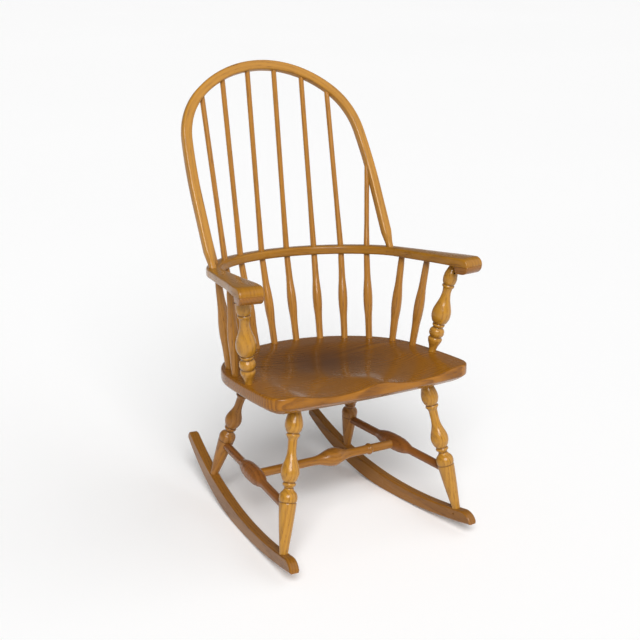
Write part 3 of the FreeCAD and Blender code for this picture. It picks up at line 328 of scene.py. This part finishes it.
def lathe():
    """Turns a profile line round a line from foot to head, bent a little where it passes the elbow."""
    tree = bpy.data.node_groups.new("turned on the lathe", "GeometryNodeTree")
    for name, kind in (("Profile", "NodeSocketGeometry"), ("Foot", "NodeSocketVector"),
                       ("Head", "NodeSocketVector"), ("Elbow", "NodeSocketVector"),
                       ("Elbow share", "NodeSocketFloat"), ("Sides", "NodeSocketInt"),
                       ("Log", "NodeSocketVector"), ("Finish", "NodeSocketMaterial")):
        tree.interface.new_socket(name, in_out="INPUT", socket_type=kind)
    tree.interface.new_socket("Piece", in_out="OUTPUT", socket_type="NodeSocketGeometry")
    given = tree.nodes.new("NodeGroupInput").outputs

    def value(operation, a, b=0.0, c=0.0):
        return node(tree, "ShaderNodeMath", {0: a, 1: b, 2: c}, operation=operation).outputs[0]

    def vector(operation, a, b):
        return node(tree, "ShaderNodeVectorMath", {0: a, 1: b}, operation=operation).outputs[0]

    def scaled(a, factor):
        return node(tree, "ShaderNodeVectorMath", {0: a, "Scale": factor}, operation="SCALE").outputs[0]

    rows = node(tree, "GeometryNodeAttributeDomainSize", {0: given["Profile"]}).outputs["Point Count"]
    columns = node(tree, "FunctionNodeIntegerMath", {0: given["Sides"], 1: 1}).outputs[0]
    grid = node(tree, "GeometryNodeMeshGrid", {"Vertices X": columns, "Vertices Y": rows}).outputs["Mesh"]
    index = tree.nodes.new("GeometryNodeInputIndex").outputs[0]
    row = node(tree, "FunctionNodeIntegerMath", {0: index, 1: rows}, operation="MODULO").outputs[0]
    column = node(tree, "FunctionNodeIntegerMath", {0: index, 1: rows}, operation="DIVIDE_FLOOR").outputs[0]
    place = tree.nodes.new("GeometryNodeInputPosition").outputs[0]
    sample = node(tree, "GeometryNodeSampleIndex", {"Geometry": given["Profile"]}, data_type="FLOAT_VECTOR")
    tree.links.new(place, sample.inputs["Value"])
    tree.links.new(row, sample.inputs["Index"])
    width, painted_shade, height = node(tree, "ShaderNodeSeparateXYZ", {0: sample.outputs[0]}).outputs
    turn = value("DIVIDE", value("MULTIPLY", column, 2 * pi), given["Sides"])
    local = node(tree, "ShaderNodeCombineXYZ", {"X": value("MULTIPLY", width, value("COSINE", turn)),
                                                "Y": value("MULTIPLY", width, value("SINE", turn)),
                                                "Z": height}).outputs[0]
    way = vector("SUBTRACT", given["Head"], given["Foot"])
    span = node(tree, "ShaderNodeVectorMath", {0: way}, operation="LENGTH").outputs["Value"]
    share = value("DIVIDE", height, span)
    rise = value("DIVIDE", share, given["Elbow share"])
    fall = value("DIVIDE", value("SUBTRACT", 1.0, share), value("SUBTRACT", 1.0, given["Elbow share"]))
    bend = value("SMOOTH_MIN", rise, fall, 0.12)
    straight = vector("ADD", given["Foot"], scaled(way, given["Elbow share"]))
    bulge = scaled(vector("SUBTRACT", given["Elbow"], straight), bend)
    upright = node(tree, "FunctionNodeAlignRotationToVector", {"Vector": way}, axis="Z").outputs[0]
    stood = node(tree, "FunctionNodeRotateVector", {0: local, 1: upright}).outputs[0]
    stood = vector("ADD", vector("ADD", given["Foot"], stood), bulge)
    made = node(tree, "GeometryNodeStoreNamedAttribute", {"Geometry": grid, "Name": "grain",
                "Value": vector("ADD", local, given["Log"])}, data_type="FLOAT_VECTOR").outputs[0]
    # Painted shade, dark in the grooves, stored for the finish.
    made = node(tree, "GeometryNodeStoreNamedAttribute", {"Geometry": made, "Name": "painted_shade", "Value": painted_shade},
                data_type="FLOAT").outputs[0]
    made = node(tree, "GeometryNodeSetPosition", {"Geometry": made, "Position": stood}).outputs[0]
    made = node(tree, "GeometryNodeMergeByDistance", {"Geometry": made, "Distance": 0.00001}).outputs[0]
    made = node(tree, "GeometryNodeSetShadeSmooth", {"Geometry": made}).outputs[0]
    made = node(tree, "GeometryNodeSetMaterial", {"Geometry": made, "Material": given["Finish"]}).outputs[0]
    node(tree, "NodeGroupOutput", {"Piece": made})
    return tree


lathe_tree = lathe()


def profile_line(rows):
    """Points of (radius, painted shade, height) along rows of (height, radius, bow), with the grooves darkened by
    painted shade.
    """
    bowed_step, straight_step, reach = 0.0009, 0.004, 0.005
    least, full = 0.0002, 0.0012
    line = [Vector((rows[0][0], 0.0))]
    for (height, radius, bow), (next_height, next_radius, _) in zip(rows, rows[1:]):
        length = hypot(next_height - height, next_radius - radius)
        step = bowed_step if bow else max(straight_step, length / 24)
        line += bowed(Vector((height, radius)), Vector((next_height, next_radius)), bow, step)
    line += [Vector(rows[-1][:2]), Vector((rows[-1][0], 0.0))]
    made = []
    for place in line:
        below = [other.y for other in line if 0 <= place.x - other.x < reach]
        above = [other.y for other in line if 0 <= other.x - place.x < reach]
        # Painted shade: points lower than their neighbours on both sides, in the grooves, get darker.
        painted_shade = (min(max(below), max(above)) - place.y - least) / full
        made.append((place.y, min(1.0, max(0.0, painted_shade)), place.x))
    return made


def turned_piece(name, rows, foot, head, material, replaced, elbow=None, elbow_share=0.5, sides=40):
    """A turned piece from foot to head, baked to a plain mesh, standing for one CAD node."""
    mesh = bpy.data.meshes.new(name)
    line = profile_line(rows)
    mesh.from_pydata(line, [(i, i + 1) for i in range(len(line) - 1)], [])
    blank = bpy.data.objects.new(f"{name}_blank", mesh)
    bpy.context.scene.collection.objects.link(blank)
    modifier = blank.modifiers.new("lathe", "NODES")
    modifier.node_group = lathe_tree
    spot = sum(ord(letter) * (i + 1) for i, letter in enumerate(name))
    log_place = Vector((spot % 7 * 0.004 - 0.012, spot % 5 * 0.005 - 0.01, spot % 11 * 0.4))
    values = {"Foot": foot, "Head": head, "Elbow": elbow or foot.lerp(head, elbow_share),
              "Elbow share": elbow_share, "Sides": sides, "Log": log_place, "Finish": material}
    for item in lathe_tree.interface.items_tree:
        if item.name in values and item.in_out == "INPUT":
            modifier[item.identifier] = values[item.name]
    turned = blank.evaluated_get(bpy.context.evaluated_depsgraph_get())
    baked = bpy.data.meshes.new_from_object(turned)
    baked.name = name
    bpy.data.objects.remove(blank)
    piece = bpy.data.objects.new(name, baked)
    bpy.context.scene.collection.objects.link(piece)
    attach(piece, "root")
    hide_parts(replaced)
    return piece


def turning(profile, width, span):
    """Rows of a turned piece in metres from its table of shares of length and width."""
    return [(height * span, thickness * width / 2, bow) for height, thickness, bow in profile]


ROCKER_SPREAD = 0.2199
ROCKER_SETBACK = 0.0423
LEG_FOOT_RADIUS = 0.0103
LEG_HEAD_RADIUS = 0.013
front_oak = finish_wood("front leg oak", (0.45, 0.215, 0.024), (0.2, 0.077, 0.01), coat=0.35,
                        ring_spacing=0.0055, pith_distance=0.035, wander=0.012, ring_strength=0.3, gloss=0.3)
# The rear legs take a darker copy of the front legs' oak: painted shade under the seat.
rear_leg_shade_oak = finish_wood("rear leg oak", (0.34, 0.145, 0.025), (0.14, 0.048, 0.009), ring_spacing=0.0055,
                       pith_distance=0.035, wander=0.012, ring_strength=0.25, gloss=0.3)
leg_lines = {}
for side, side_name in ((-1, "left"), (1, "right")):
    rocker_frame = Matrix.Translation((side * ROCKER_SPREAD, SEAT_MIDDLE + ROCKER_SETBACK, 0))
    rocker_frame = rocker_frame @ Matrix.Rotation(radians(side * ROCKER_TOE), 4, "Z")
    for end, reach, radius, depth, width, spread, advance, wood in (
            ("front", -0.249, 1.51, 0.0317, 0.043, 0.1825, -0.1266, front_oak),
            ("rear", 0.1744, 0.612, 0.0413, 0.0415, 0.1523, 0.1394, rear_leg_shade_oak)):
        foot = rocker_frame @ Vector((0, reach, radius - sqrt(radius ** 2 - reach ** 2) + depth))
        head = seat_frame @ Vector((side * spread, advance, -SEAT_THICKNESS))
        span = (head - foot).length
        rows = [(-0.003, LEG_FOOT_RADIUS, 0), (0.004, LEG_FOOT_RADIUS, 0)] + turning(LEG_PROFILE, width, span)
        rows += [(span + 0.004, LEG_HEAD_RADIUS, 0)]
        name = f"{end}_leg_{side_name}"
        turned_piece(f"{name}_turning", rows, foot, head, wood, name, sides=48)
        leg_lines[end, side] = (foot, head)

# Stretchers: turned rods with a swelling, one from leg to leg on each side and one across between
# their swellings. Each end is glued into a hole bored in the neighbour.
SIDE_PROFILE = (
    (0.315, 0.532, 0), (0.345, 0.68, 0.03), (0.385, 0.87, 0.04), (0.43, 0.975, 0.03), (0.48, 1, 0.03),
    (0.53, 0.975, 0.04), (0.575, 0.87, 0.03), (0.615, 0.68, 0), (0.645, 0.532, 0),
)
CENTRE_PROFILE = (
    (0.25, 0.48, 0.109), (0.264, 0.63, 0.109), (0.278, 0.48, 0), (0.4, 0.48, -0.02), (0.44, 0.56, -0.015),
    (0.475, 0.76, 0.016), (0.51, 0.94, 0.019), (0.54, 1, 0.029), (0.57, 0.9, 0.006), (0.6, 0.7, -0.019),
    (0.635, 0.54, -0.017), (0.67, 0.48, 0), (0.782, 0.48, 0.109), (0.796, 0.63, 0.109), (0.81, 0.48, 0),
)
STRETCHER_SHARE = 0.303
STRETCHER_TENON_RADIUS = 0.0105
STRETCHER_SWELL = 0.0395
CENTRE_TENON_RADIUS = 0.011
CENTRE_SWELL = 0.046
TENON_INSET = 0.008
# The side stretchers take a darker copy of the centre stretcher's oak: painted shade under the seat.
side_stretcher_shade_oak = finish_wood("side stretcher painted shade oak", (0.25, 0.09, 0.018), (0.1, 0.03, 0.006), ring_spacing=0.005,
                       pith_distance=0.03, wander=0.01, ring_strength=0.25, gloss=0.3)
centre_oak = finish_wood("centre stretcher oak", (0.36, 0.15, 0.02), (0.15, 0.052, 0.008),
                         ring_spacing=0.005, pith_distance=0.03, wander=0.01, ring_strength=0.25, gloss=0.3)
middles = []
for side, side_name in ((-1, "left"), (1, "right")):
    rear = leg_lines["rear", side][0].lerp(leg_lines["rear", side][1], STRETCHER_SHARE)
    front = leg_lines["front", side][0].lerp(leg_lines["front", side][1], STRETCHER_SHARE)
    span = (front - rear).length
    rows = [(TENON_INSET, STRETCHER_TENON_RADIUS, 0)] + turning(SIDE_PROFILE, STRETCHER_SWELL, span)
    rows += [(span - TENON_INSET, STRETCHER_TENON_RADIUS, 0)]
    turned_piece(f"side_rod_{side_name}", rows, rear, front, side_stretcher_shade_oak, f"side_stretcher_{side_name}")
    middles.append(rear.lerp(front, 0.5))
span = (middles[1] - middles[0]).length
rows = [(TENON_INSET, CENTRE_TENON_RADIUS, 0)] + turning(CENTRE_PROFILE, CENTRE_SWELL, span)
rows += [(span - TENON_INSET, CENTRE_TENON_RADIUS, 0)]
turned_piece("centre_rod", rows, middles[0], middles[1], centre_oak, "centre_stretcher")

# Pins: short oak dowels through the rockers' inner sides and the legs' feet, and through the rail
# into the hoop's feet, cut off flush and darkened by the stain that their end grain drinks.
pin_oak = finish_wood("pin oak", (0.16, 0.06, 0.014), (0.07, 0.02, 0.006), turn=(0, 90, 0),
                      ring_spacing=0.002, pith_distance=0.01, wander=0.002, ring_strength=0.6, gloss=0.4)
for name in ("rocker_pins", "hoop_pins"):
    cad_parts[name].data.materials.clear()
    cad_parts[name].data.materials.append(pin_oak)

# Arm rail: a bent back bow that turns forward into two splayed arms, widening to the hands, with
# every edge rounded over. The hands are thickened with a block below and rolled at the front.
RAIL_HEIGHT = 0.2403
RAIL_PITCH = 2.3
RAIL_BACK = 0.28
RAIL_RADIUS = 0.285
RAIL_TURN = 55
BEND_RADIUS = 0.15
ARM_SPLAY = 10.2
RAIL_WIDTH = 0.034
RAIL_THICKNESS = 0.021
ARM_LENGTH = 0.254
HAND_WIDTH = 0.056
HAND_ROLL = 0.02
HAND_CORNER = 0.004
HAND_LENGTH = 0.05
HAND_DEPTH = 0.04
RAIL_EASE = 0.0045
WIDTH_BLEND = 0.012
END_GAP = 0.0004
ARM_WIDTHS = (
    (0, 0.034), (0.16, 0.0397), (0.36, 0.0456), (0.56, 0.0502), (0.78, 0.062), (0.9, 0.0615), (1, 0.056),
)
rail_frame = seat_frame @ Matrix.Translation((0, 0, RAIL_HEIGHT)) @ Matrix.Rotation(radians(-RAIL_PITCH), 4, "X")


def polar(middle, radius, angle):
    """Point at an angle in degrees from straight back, turning to the right."""
    return middle + Vector((sin(radians(angle)), cos(radians(angle)), 0)) * radius


bow_middle = Vector((0, RAIL_BACK - RAIL_RADIUS, 0))
bend_middle = polar(bow_middle, RAIL_RADIUS - BEND_RADIUS, RAIL_TURN)
arm_start = polar(bend_middle, BEND_RADIUS, 90 - ARM_SPLAY)
arm_way = Vector((sin(radians(ARM_SPLAY)), -cos(radians(ARM_SPLAY)), 0))
arm_out = Vector((cos(radians(ARM_SPLAY)), sin(radians(ARM_SPLAY)), 0))


def eased_width(reach):
    """The arm's width at a reach along it, in straight lines between the places of the table."""
    share = reach / ARM_LENGTH
    for (low_share, low_width), (high_share, high_width) in zip(ARM_WIDTHS, ARM_WIDTHS[1:]):
        if share <= high_share:
            part = (share - low_share) / (high_share - low_share)
            return low_width + (high_width - low_width) * part
    return ARM_WIDTHS[-1][1]


def rail_stations():
    """Half of the rail's middle line, from the back to the hand: (place, outward way, width, run)."""
    stations = []
    for angle in range(RAIL_TURN):
        place = polar(bow_middle, RAIL_RADIUS, angle)
        stations.append((place, (place - bow_middle).normalized(), RAIL_WIDTH, RAIL_RADIUS * radians(angle)))
    run = RAIL_RADIUS * radians(RAIL_TURN)
    steps = 16
    for step in range(steps):
        angle = RAIL_TURN + (90 - ARM_SPLAY - RAIL_TURN) * step / steps
        place = polar(bend_middle, BEND_RADIUS, angle)
        stations.append((place, (place - bend_middle).normalized(), RAIL_WIDTH,
                         run + BEND_RADIUS * radians(angle - RAIL_TURN)))
    run += BEND_RADIUS * radians(90 - ARM_SPLAY - RAIL_TURN)
    reach = 0.0
    while reach < ARM_LENGTH - END_GAP:
        width = sum(eased_width(min(max(reach + shift, 0), ARM_LENGTH))
                    for shift in (-WIDTH_BLEND, 0, WIDTH_BLEND)) / 3
        stations.append((arm_start + arm_way * reach, arm_out, width, run + reach))
        left = ARM_LENGTH - reach
        reach += 0.005 if left > 0.03 else max(END_GAP, left * 0.14)
    return stations


def rounded_section(width, height, top_ease, foot_ease, steps=4):
    """Section with rounded corners from the outer top going round, as (across, up), its top at zero."""
    places = []
    for side, upper, start in ((1, True, 90), (1, False, 0), (-1, False, -90), (-1, True, -180)):
        ease = min(top_ease if upper else foot_ease, height * 0.49, width * 0.49)
        for step in range(steps + 1):
            turn = radians(start - 90 * step / steps)
            up = -ease if upper else ease - height
            places.append((side * (width / 2 - ease) + ease * cos(turn), up + ease * sin(turn)))
    return places


def skin(rings):
    """Faces of a closed skin over rings of equal count, with a fan at each end."""
    count = len(rings[0])
    points = [place for ring in rings for place in ring]
    faces = []
    for ring in range(len(rings) - 1):
        start = ring * count
        for i in range(count):
            after = (i + 1) % count
            faces.append((start + i, start + after, start + count + after, start + count + i))
    last = len(points) - count
    faces.append(tuple(reversed(range(count))))
    faces.append(tuple(range(last, last + count)))
    return points, faces


half = rail_stations()
stations = [(Vector((-place.x, place.y, 0)), Vector((-outward.x, outward.y, 0)), width, -run)
            for place, outward, width, run in half[:0:-1]] + half
length = half[-1][3]
rings, grain = [], []
for place, outward, width, run in stations:
    ahead = max(END_GAP, length + END_GAP - abs(run))
    fall = HAND_ROLL - sqrt(HAND_ROLL ** 2 - max(0, HAND_ROLL - ahead) ** 2)
    width -= 2 * (HAND_CORNER - sqrt(HAND_CORNER ** 2 - max(0, HAND_CORNER - ahead) ** 2))
    foot_ease = 0.0003 + 0.0042 * min(1, max(0, (ahead - HAND_LENGTH + 0.002) / 0.012))
    ring = []
    for across, up in rounded_section(width, RAIL_THICKNESS - fall, RAIL_EASE, foot_ease):
        spot = place + outward * across
        ring.append(rail_frame @ Vector((spot.x, spot.y, up - fall)))
        grain.append((across, up, run + 3))
    rings.append(ring)
points, faces = skin(rings)
rail_oak = finish_wood("arm rail oak", (0.35, 0.152, 0.012), (0.16, 0.058, 0.006), ring_spacing=0.006,
                       pith_distance=0.05, wander=0.014, ring_strength=0.2, gloss=0.28)
piece_from("bent_arm_rail", points, faces, grain, rail_oak, "arm_rail")

# The hands take a darker copy of the arm rail's oak: painted shade for the shaded scroll sides.
hand_block_shade_oak = finish_wood("hand block painted shade oak", (0.29, 0.115, 0.017), (0.15, 0.053, 0.009), ring_spacing=0.006,
                        pith_distance=0.05, wander=0.014, ring_strength=0.2, gloss=0.28)
side_view = []
for step in range(13):
    turn = radians(182.87 + 87.13 * step / 12)
    side_view.append(Vector((HAND_ROLL + HAND_ROLL * cos(turn), -HAND_ROLL + HAND_ROLL * sin(turn))))
side_view += bowed(Vector((HAND_LENGTH - 0.0057, -HAND_DEPTH)), Vector((HAND_LENGTH, -RAIL_THICKNESS)),
                   bow=0.28, step=0.0015)
side_view.append(Vector((HAND_LENGTH, -RAIL_THICKNESS)))
for side, side_name in ((-1, "left"), (1, "right")):
    front = arm_start + arm_way * ARM_LENGTH
    hand_frame = rail_frame @ Matrix.Translation((side * front.x, front.y, 0))
    hand_frame = hand_frame @ Matrix.Rotation(radians(side * ARM_SPLAY), 4, "Z")
    edge = [(HAND_WIDTH / 2 - HAND_CORNER * (1 - sin(radians(turn))), HAND_CORNER * (1 - cos(radians(turn))))
            for turn in range(0, 91, 15)]
    rings, grain = [], []
    for across, inset in [(-across, inset) for across, inset in reversed(edge)] + [(0, 0)] + edge:
        ring = []
        for i, place in enumerate(side_view):
            way = side_view[(i + 1) % len(side_view)] - side_view[i - 1]
            spot = place + Vector((-way.y, way.x)).normalized() * inset
            if i in (0, len(side_view) - 1):
                spot = Vector((place.x + (inset if i == 0 else -inset), place.y))
            spot.y = min(spot.y, -RAIL_THICKNESS)
            ring.append(hand_frame @ Vector((across, spot.x, spot.y)))
            grain.append((across + 0.02, spot.y, spot.x + side))
        rings.append(ring)
    points, faces = skin(rings)
    piece_from(f"hand_{side_name}", points, faces, grain, hand_block_shade_oak, f"hand_block_{side_name}")

# Arm posts and arm spindles: turned, their feet in the seat and their heads in the arms.
# The posts carry a vase, rings and a ball; the spindles only swell below the middle.
POST_PROFILE = (
    (0.04, 0.42, -0.03), (0.085, 0.56, 0.03), (0.12, 0.69, 0.12), (0.158, 0.69, 0), (0.172, 0.6, 0),
    (0.184, 0.67, 0.12), (0.226, 0.77, 0.12), (0.264, 0.62, 0), (0.28, 0.51, 0), (0.293, 0.59, 0.22),
    (0.318, 0.6, 0), (0.322, 0.57, 0), (0.328, 0.64, 0.07), (0.362, 0.85, 0.06), (0.425, 0.98, 0.05),
    (0.5, 0.87, 0.01), (0.56, 0.68, -0.02), (0.62, 0.52, -0.02), (0.682, 0.45, -0.02), (0.728, 0.5, 0),
    (0.737, 0.57, 0.22), (0.764, 0.59, 0), (0.77, 0.55, 0), (0.778, 0.61, 0.06), (0.815, 0.7, 0.05),
    (0.86, 0.7, 0.04), (0.91, 0.6, 0), (0.95, 0.45, -0.02),
)
SPINDLE_PROFILE = (
    (0.16, 0.735, -0.004), (0.25, 0.79, -0.004), (0.31, 0.88, 0.005), (0.37, 0.965, 0.004), (0.45, 1, 0.005),
    (0.53, 0.955, 0.004), (0.6, 0.855, -0.004), (0.67, 0.75, -0.003), (0.75, 0.7, -0.002), (0.87, 0.67, 0),
)
ARM_SPINDLE_SWELL = 0.0256
TURNED_TENON = 0.012
post_oak = finish_wood("post oak", (0.45, 0.215, 0.024), (0.2, 0.077, 0.01), coat=0.35, ring_spacing=0.0055,
                       pith_distance=0.035, wander=0.012, ring_strength=0.2, gloss=0.28)
spindle_oak = finish_wood("spindle oak", (0.4, 0.175, 0.025), (0.17, 0.062, 0.009), coat=0.35,
                          ring_spacing=0.004, pith_distance=0.03, wander=0.006, ring_strength=0.2, gloss=0.3)


def seat_place(across, back):
    """Point of the seat's top, by its shares of the half width and of the back's length."""
    return seat_frame @ Vector((across * SEAT_WIDTH / 2, back * SEAT_BACK, 0))


for side, side_name in ((-1, "left"), (1, "right")):
    for name, across, back, reach, foot_width, head_width, width, profile, wood, slot in (
            (f"arm_post_{side_name}", 0.927, -0.209, 0.735, 0.018, 0.0165, 0.048, POST_PROFILE,
             post_oak, "post_wood"),
            (f"arm_spindle_rear_{side_name}", 0.845, 0.368, 0.05, 0.017, 0.0152, ARM_SPINDLE_SWELL, SPINDLE_PROFILE,
             spindle_oak, "spindle_wood"),
            (f"arm_spindle_front_{side_name}", 0.907, 0.103, 0.39, 0.017, 0.0152, ARM_SPINDLE_SWELL, SPINDLE_PROFILE,
             spindle_oak, "spindle_wood")):
        foot = seat_place(side * across, back)
        under = arm_start + arm_way * (ARM_LENGTH * reach)
        head = rail_frame @ Vector((side * under.x, under.y, -RAIL_THICKNESS))
        span = (head - foot).length
        rows = [(-TURNED_TENON, foot_width / 2, 0), (0.004, foot_width / 2, 0)] + turning(profile, width, span)
        rows += [(span - 0.004, head_width / 2, 0), (span + 0.005, head_width / 2, 0)]
        turned_piece(f"{name}_turning", rows, foot, head, wood, name)

# Hoop: one steam-bent bow with a rectangular section and rounded edges, its sides straight, then
# slack, its feet pared round and glued down into the rail.
HOOP_HALF = 0.2644
HOOP_HEIGHT = 0.507
HOOP_FACE = 0.024
HOOP_DEPTH = 0.02
SLACK_RADIUS = 1.421
SHOULDER_RADIUS = 0.188
HOOP_LEAN = 23
HOOP_EASE = 0.005
HOOP_TENON = 0.012
HOOP_TENON_RADIUS = 0.009
HOOP_ROUND = 0.008
HOOP_PARING_SLOPE = 0.1436
HOOP_PARED = 0.08
HOOP_FOOT_OFFSET = 0.0021
slack_turn = radians(6.3)
full_turn = slack_turn + radians(42.8)
inside = HOOP_FACE / 2
foot_reach = sqrt((BEND_RADIUS + HOOP_FOOT_OFFSET) ** 2 - (HOOP_HALF - inside - bend_middle.x) ** 2)
hoop_frame = rail_frame @ Matrix.Translation((0, bend_middle.y + foot_reach, 0))
hoop_frame = hoop_frame @ Matrix.Rotation(radians(90 - HOOP_LEAN), 4, "X")
shoulder_inset = SHOULDER_RADIUS * (cos(slack_turn) - cos(full_turn))
crown_radius = (HOOP_HALF - SLACK_RADIUS * (1 - cos(slack_turn)) - shoulder_inset) / cos(full_turn)
straight = HOOP_HEIGHT - crown_radius * (1 - sin(full_turn)) - SLACK_RADIUS * sin(slack_turn)
straight -= SHOULDER_RADIUS * (sin(full_turn) - sin(slack_turn))
slack_middle = Vector((HOOP_HALF - SLACK_RADIUS, straight))
shoulder_middle = slack_middle + Vector((cos(slack_turn), sin(slack_turn))) * (
    SLACK_RADIUS - SHOULDER_RADIUS)
crown_middle = Vector((0, HOOP_HEIGHT - crown_radius))
half = []
side_steps = 24
for step in range(side_steps):
    height = -HOOP_TENON + (straight + HOOP_TENON) * step / side_steps
    half.append((Vector((HOOP_HALF - inside, height)), Vector((1, 0)), height + HOOP_TENON))
run = straight + HOOP_TENON
for middle, radius, start, end, steps in ((slack_middle, SLACK_RADIUS, 0, slack_turn, 12),
                                          (shoulder_middle, SHOULDER_RADIUS, slack_turn, full_turn, 20),
                                          (crown_middle, crown_radius, full_turn, pi / 2, 24)):
    for step in range(steps):
        turn = start + (end - start) * step / steps
        outward = Vector((cos(turn), sin(turn)))
        half.append((middle + outward * (radius - inside), outward, run + (radius - inside) * (turn - start)))
    run += (radius - inside) * (end - start)
top = [(Vector((0, HOOP_HEIGHT - inside)), Vector((0, 1)), run)]
stations = half + top + [(Vector((-place.x, place.y)), Vector((-outward.x, outward.y)), 2 * run - along)
                         for place, outward, along in reversed(half)]
rings, grain = [], []
for place, outward, along in stations:
    limit = HOOP_TENON_RADIUS + max(0, place.y - HOOP_ROUND) * HOOP_PARING_SLOPE
    ring = []
    for across, up in rounded_section(HOOP_FACE, HOOP_DEPTH, HOOP_EASE, HOOP_EASE):
        spot = Vector((across, up + HOOP_DEPTH / 2))
        if place.y < HOOP_PARED and spot.length > limit:
            spot = spot.normalized() * limit
        flat = place + outward * spot.x
        ring.append(hoop_frame @ Vector((flat.x, flat.y, spot.y)))
        grain.append((spot.x, spot.y, along + 5))
    rings.append(ring)
points, faces = skin(rings)
hoop_oak = finish_wood("hoop oak", (0.43, 0.2, 0.027), (0.21, 0.085, 0.012), ring_spacing=0.005,
                       pith_distance=0.06, wander=0.01, ring_strength=0.18, gloss=0.28)
piece_from("bent_hoop", points, faces, grain, hoop_oak, "hoop")

# Back spindles: turned with a swelling between seat and rail, slender above, and sprung a little
# where they pass through the rail on the way to the hoop.
TIP_SHARES = (0.142, 0.424, 0.672)
SIDE_TIP_SHARES = (0.9225, 0.435)
BACK_PLACES = ((0.115, 0.947, 0.133), (0.334, 0.874, 0.4), (0.533, 0.748, 0.655), (0.718, 0.594, 0.9))
BACK_SPINDLE_SWELL = 0.0237
FOOT_RADIUS = 0.0085
NECK_RADIUS = 0.0076
NECK_HALF = 0.0145
TIP_RADIUS = 0.0063
TAPER_END_SHARE = 0.3
tips = []
for share in TIP_SHARES:
    across = HOOP_HALF * share
    middle, radius = crown_middle, crown_radius
    if across > (crown_radius - inside) * cos(full_turn):
        middle, radius = shoulder_middle, SHOULDER_RADIUS
    tips.append(Vector((across, middle.y + sqrt((radius - inside) ** 2 - (across - middle.x) ** 2), 0)))
tips.append(Vector((HOOP_HALF * SIDE_TIP_SHARES[0], HOOP_HEIGHT * SIDE_TIP_SHARES[1], 0)))
for side, side_name in ((-1, "left"), (1, "right")):
    for number, (across, back, bow_share) in enumerate(BACK_PLACES, start=1):
        foot = seat_place(side * across, back)
        knee = polar(bow_middle, RAIL_RADIUS, RAIL_TURN * bow_share)
        knee = rail_frame @ Vector((side * knee.x, knee.y, -RAIL_THICKNESS / 2))
        tip = tips[number - 1]
        head = hoop_frame @ Vector((side * tip.x, tip.y, 0))
        lower, upper = (knee - foot).length, (head - knee).length
        fit = (head - foot).length / (lower + upper)
        rows = [(-TURNED_TENON, FOOT_RADIUS, 0), (0.004, FOOT_RADIUS, 0)]
        rows += turning(SPINDLE_PROFILE, BACK_SPINDLE_SWELL, lower)
        rows += [(lower - NECK_HALF, NECK_RADIUS, 0), (lower + NECK_HALF, NECK_RADIUS, 0),
                 (lower + upper * TAPER_END_SHARE, TIP_RADIUS, 0), (lower + upper, TIP_RADIUS, 0)]
        rows = [(height * fit, radius, bow) for height, radius, bow in rows]
        name = f"back_spindle_{side_name}_{number}"
        turned_piece(f"{name}_turning", rows, foot, head, spindle_oak, name, elbow=knee,
                     elbow_share=lower / (lower + upper), sides=28)

# Studio: a wide pale floor that fills the picture, a broad soft light from the front left above and
# a weaker one from the front right, a dim even surround and the camera.
bpy.ops.mesh.primitive_plane_add(size=120)
floor = bpy.context.object
floor.name = "studio_floor"
paper = bpy.data.materials.new("pale paper")
paper.use_nodes = True
paper_noise = node(paper.node_tree, "ShaderNodeTexNoise", {"Scale": 40.0, "Detail": 2.0})
paper_tone = node(paper.node_tree, "ShaderNodeMix", {0: paper_noise.outputs["Fac"], 6: (0.965, 0.965, 0.965, 1),
                                                     7: (0.985, 0.985, 0.985, 1)}, data_type="RGBA")
paper_shader = paper.node_tree.nodes["Principled BSDF"]
paper.node_tree.links.new(paper_tone.outputs[2], paper_shader.inputs["Base Color"])
paper_shader.inputs["Roughness"].default_value = 0.95
floor.data.materials.append(paper)

LIGHTS = (("key", (-1.3, -2.4, 2.3), 3.4, 36), ("fill", (2.4, -1.6, 1.9), 0.9, 70))
for name, place, power, spread in LIGHTS:
    lamp = bpy.data.lights.new(name, "SUN")
    lamp.energy = power
    lamp.angle = radians(spread)
    holder = bpy.data.objects.new(name, lamp)
    bpy.context.scene.collection.objects.link(holder)
    holder.rotation_euler = Vector(place).to_track_quat("Z", "Y").to_euler()
world = bpy.data.worlds.new("studio")
bpy.context.scene.world = world
world.use_nodes = True
world.node_tree.nodes["Background"].inputs["Color"].default_value = (1, 1, 1, 1)
world.node_tree.nodes["Background"].inputs["Strength"].default_value = 0.16

lens = bpy.data.cameras.new("photograph")
lens.lens = 70.03
lens.sensor_width = 36
lens.shift_x = -0.0208
lens.shift_y = 0.0095
camera = bpy.data.objects.new("photograph", lens)
bpy.context.scene.collection.objects.link(camera)
camera.location = (-1.5562, -2.4066, 1.4176)
camera.rotation_euler = [radians(angle) for angle in (71.785, -2.561, -32.727)]
bpy.context.scene.camera = camera
bpy.context.scene.view_settings.view_transform = "Standard"
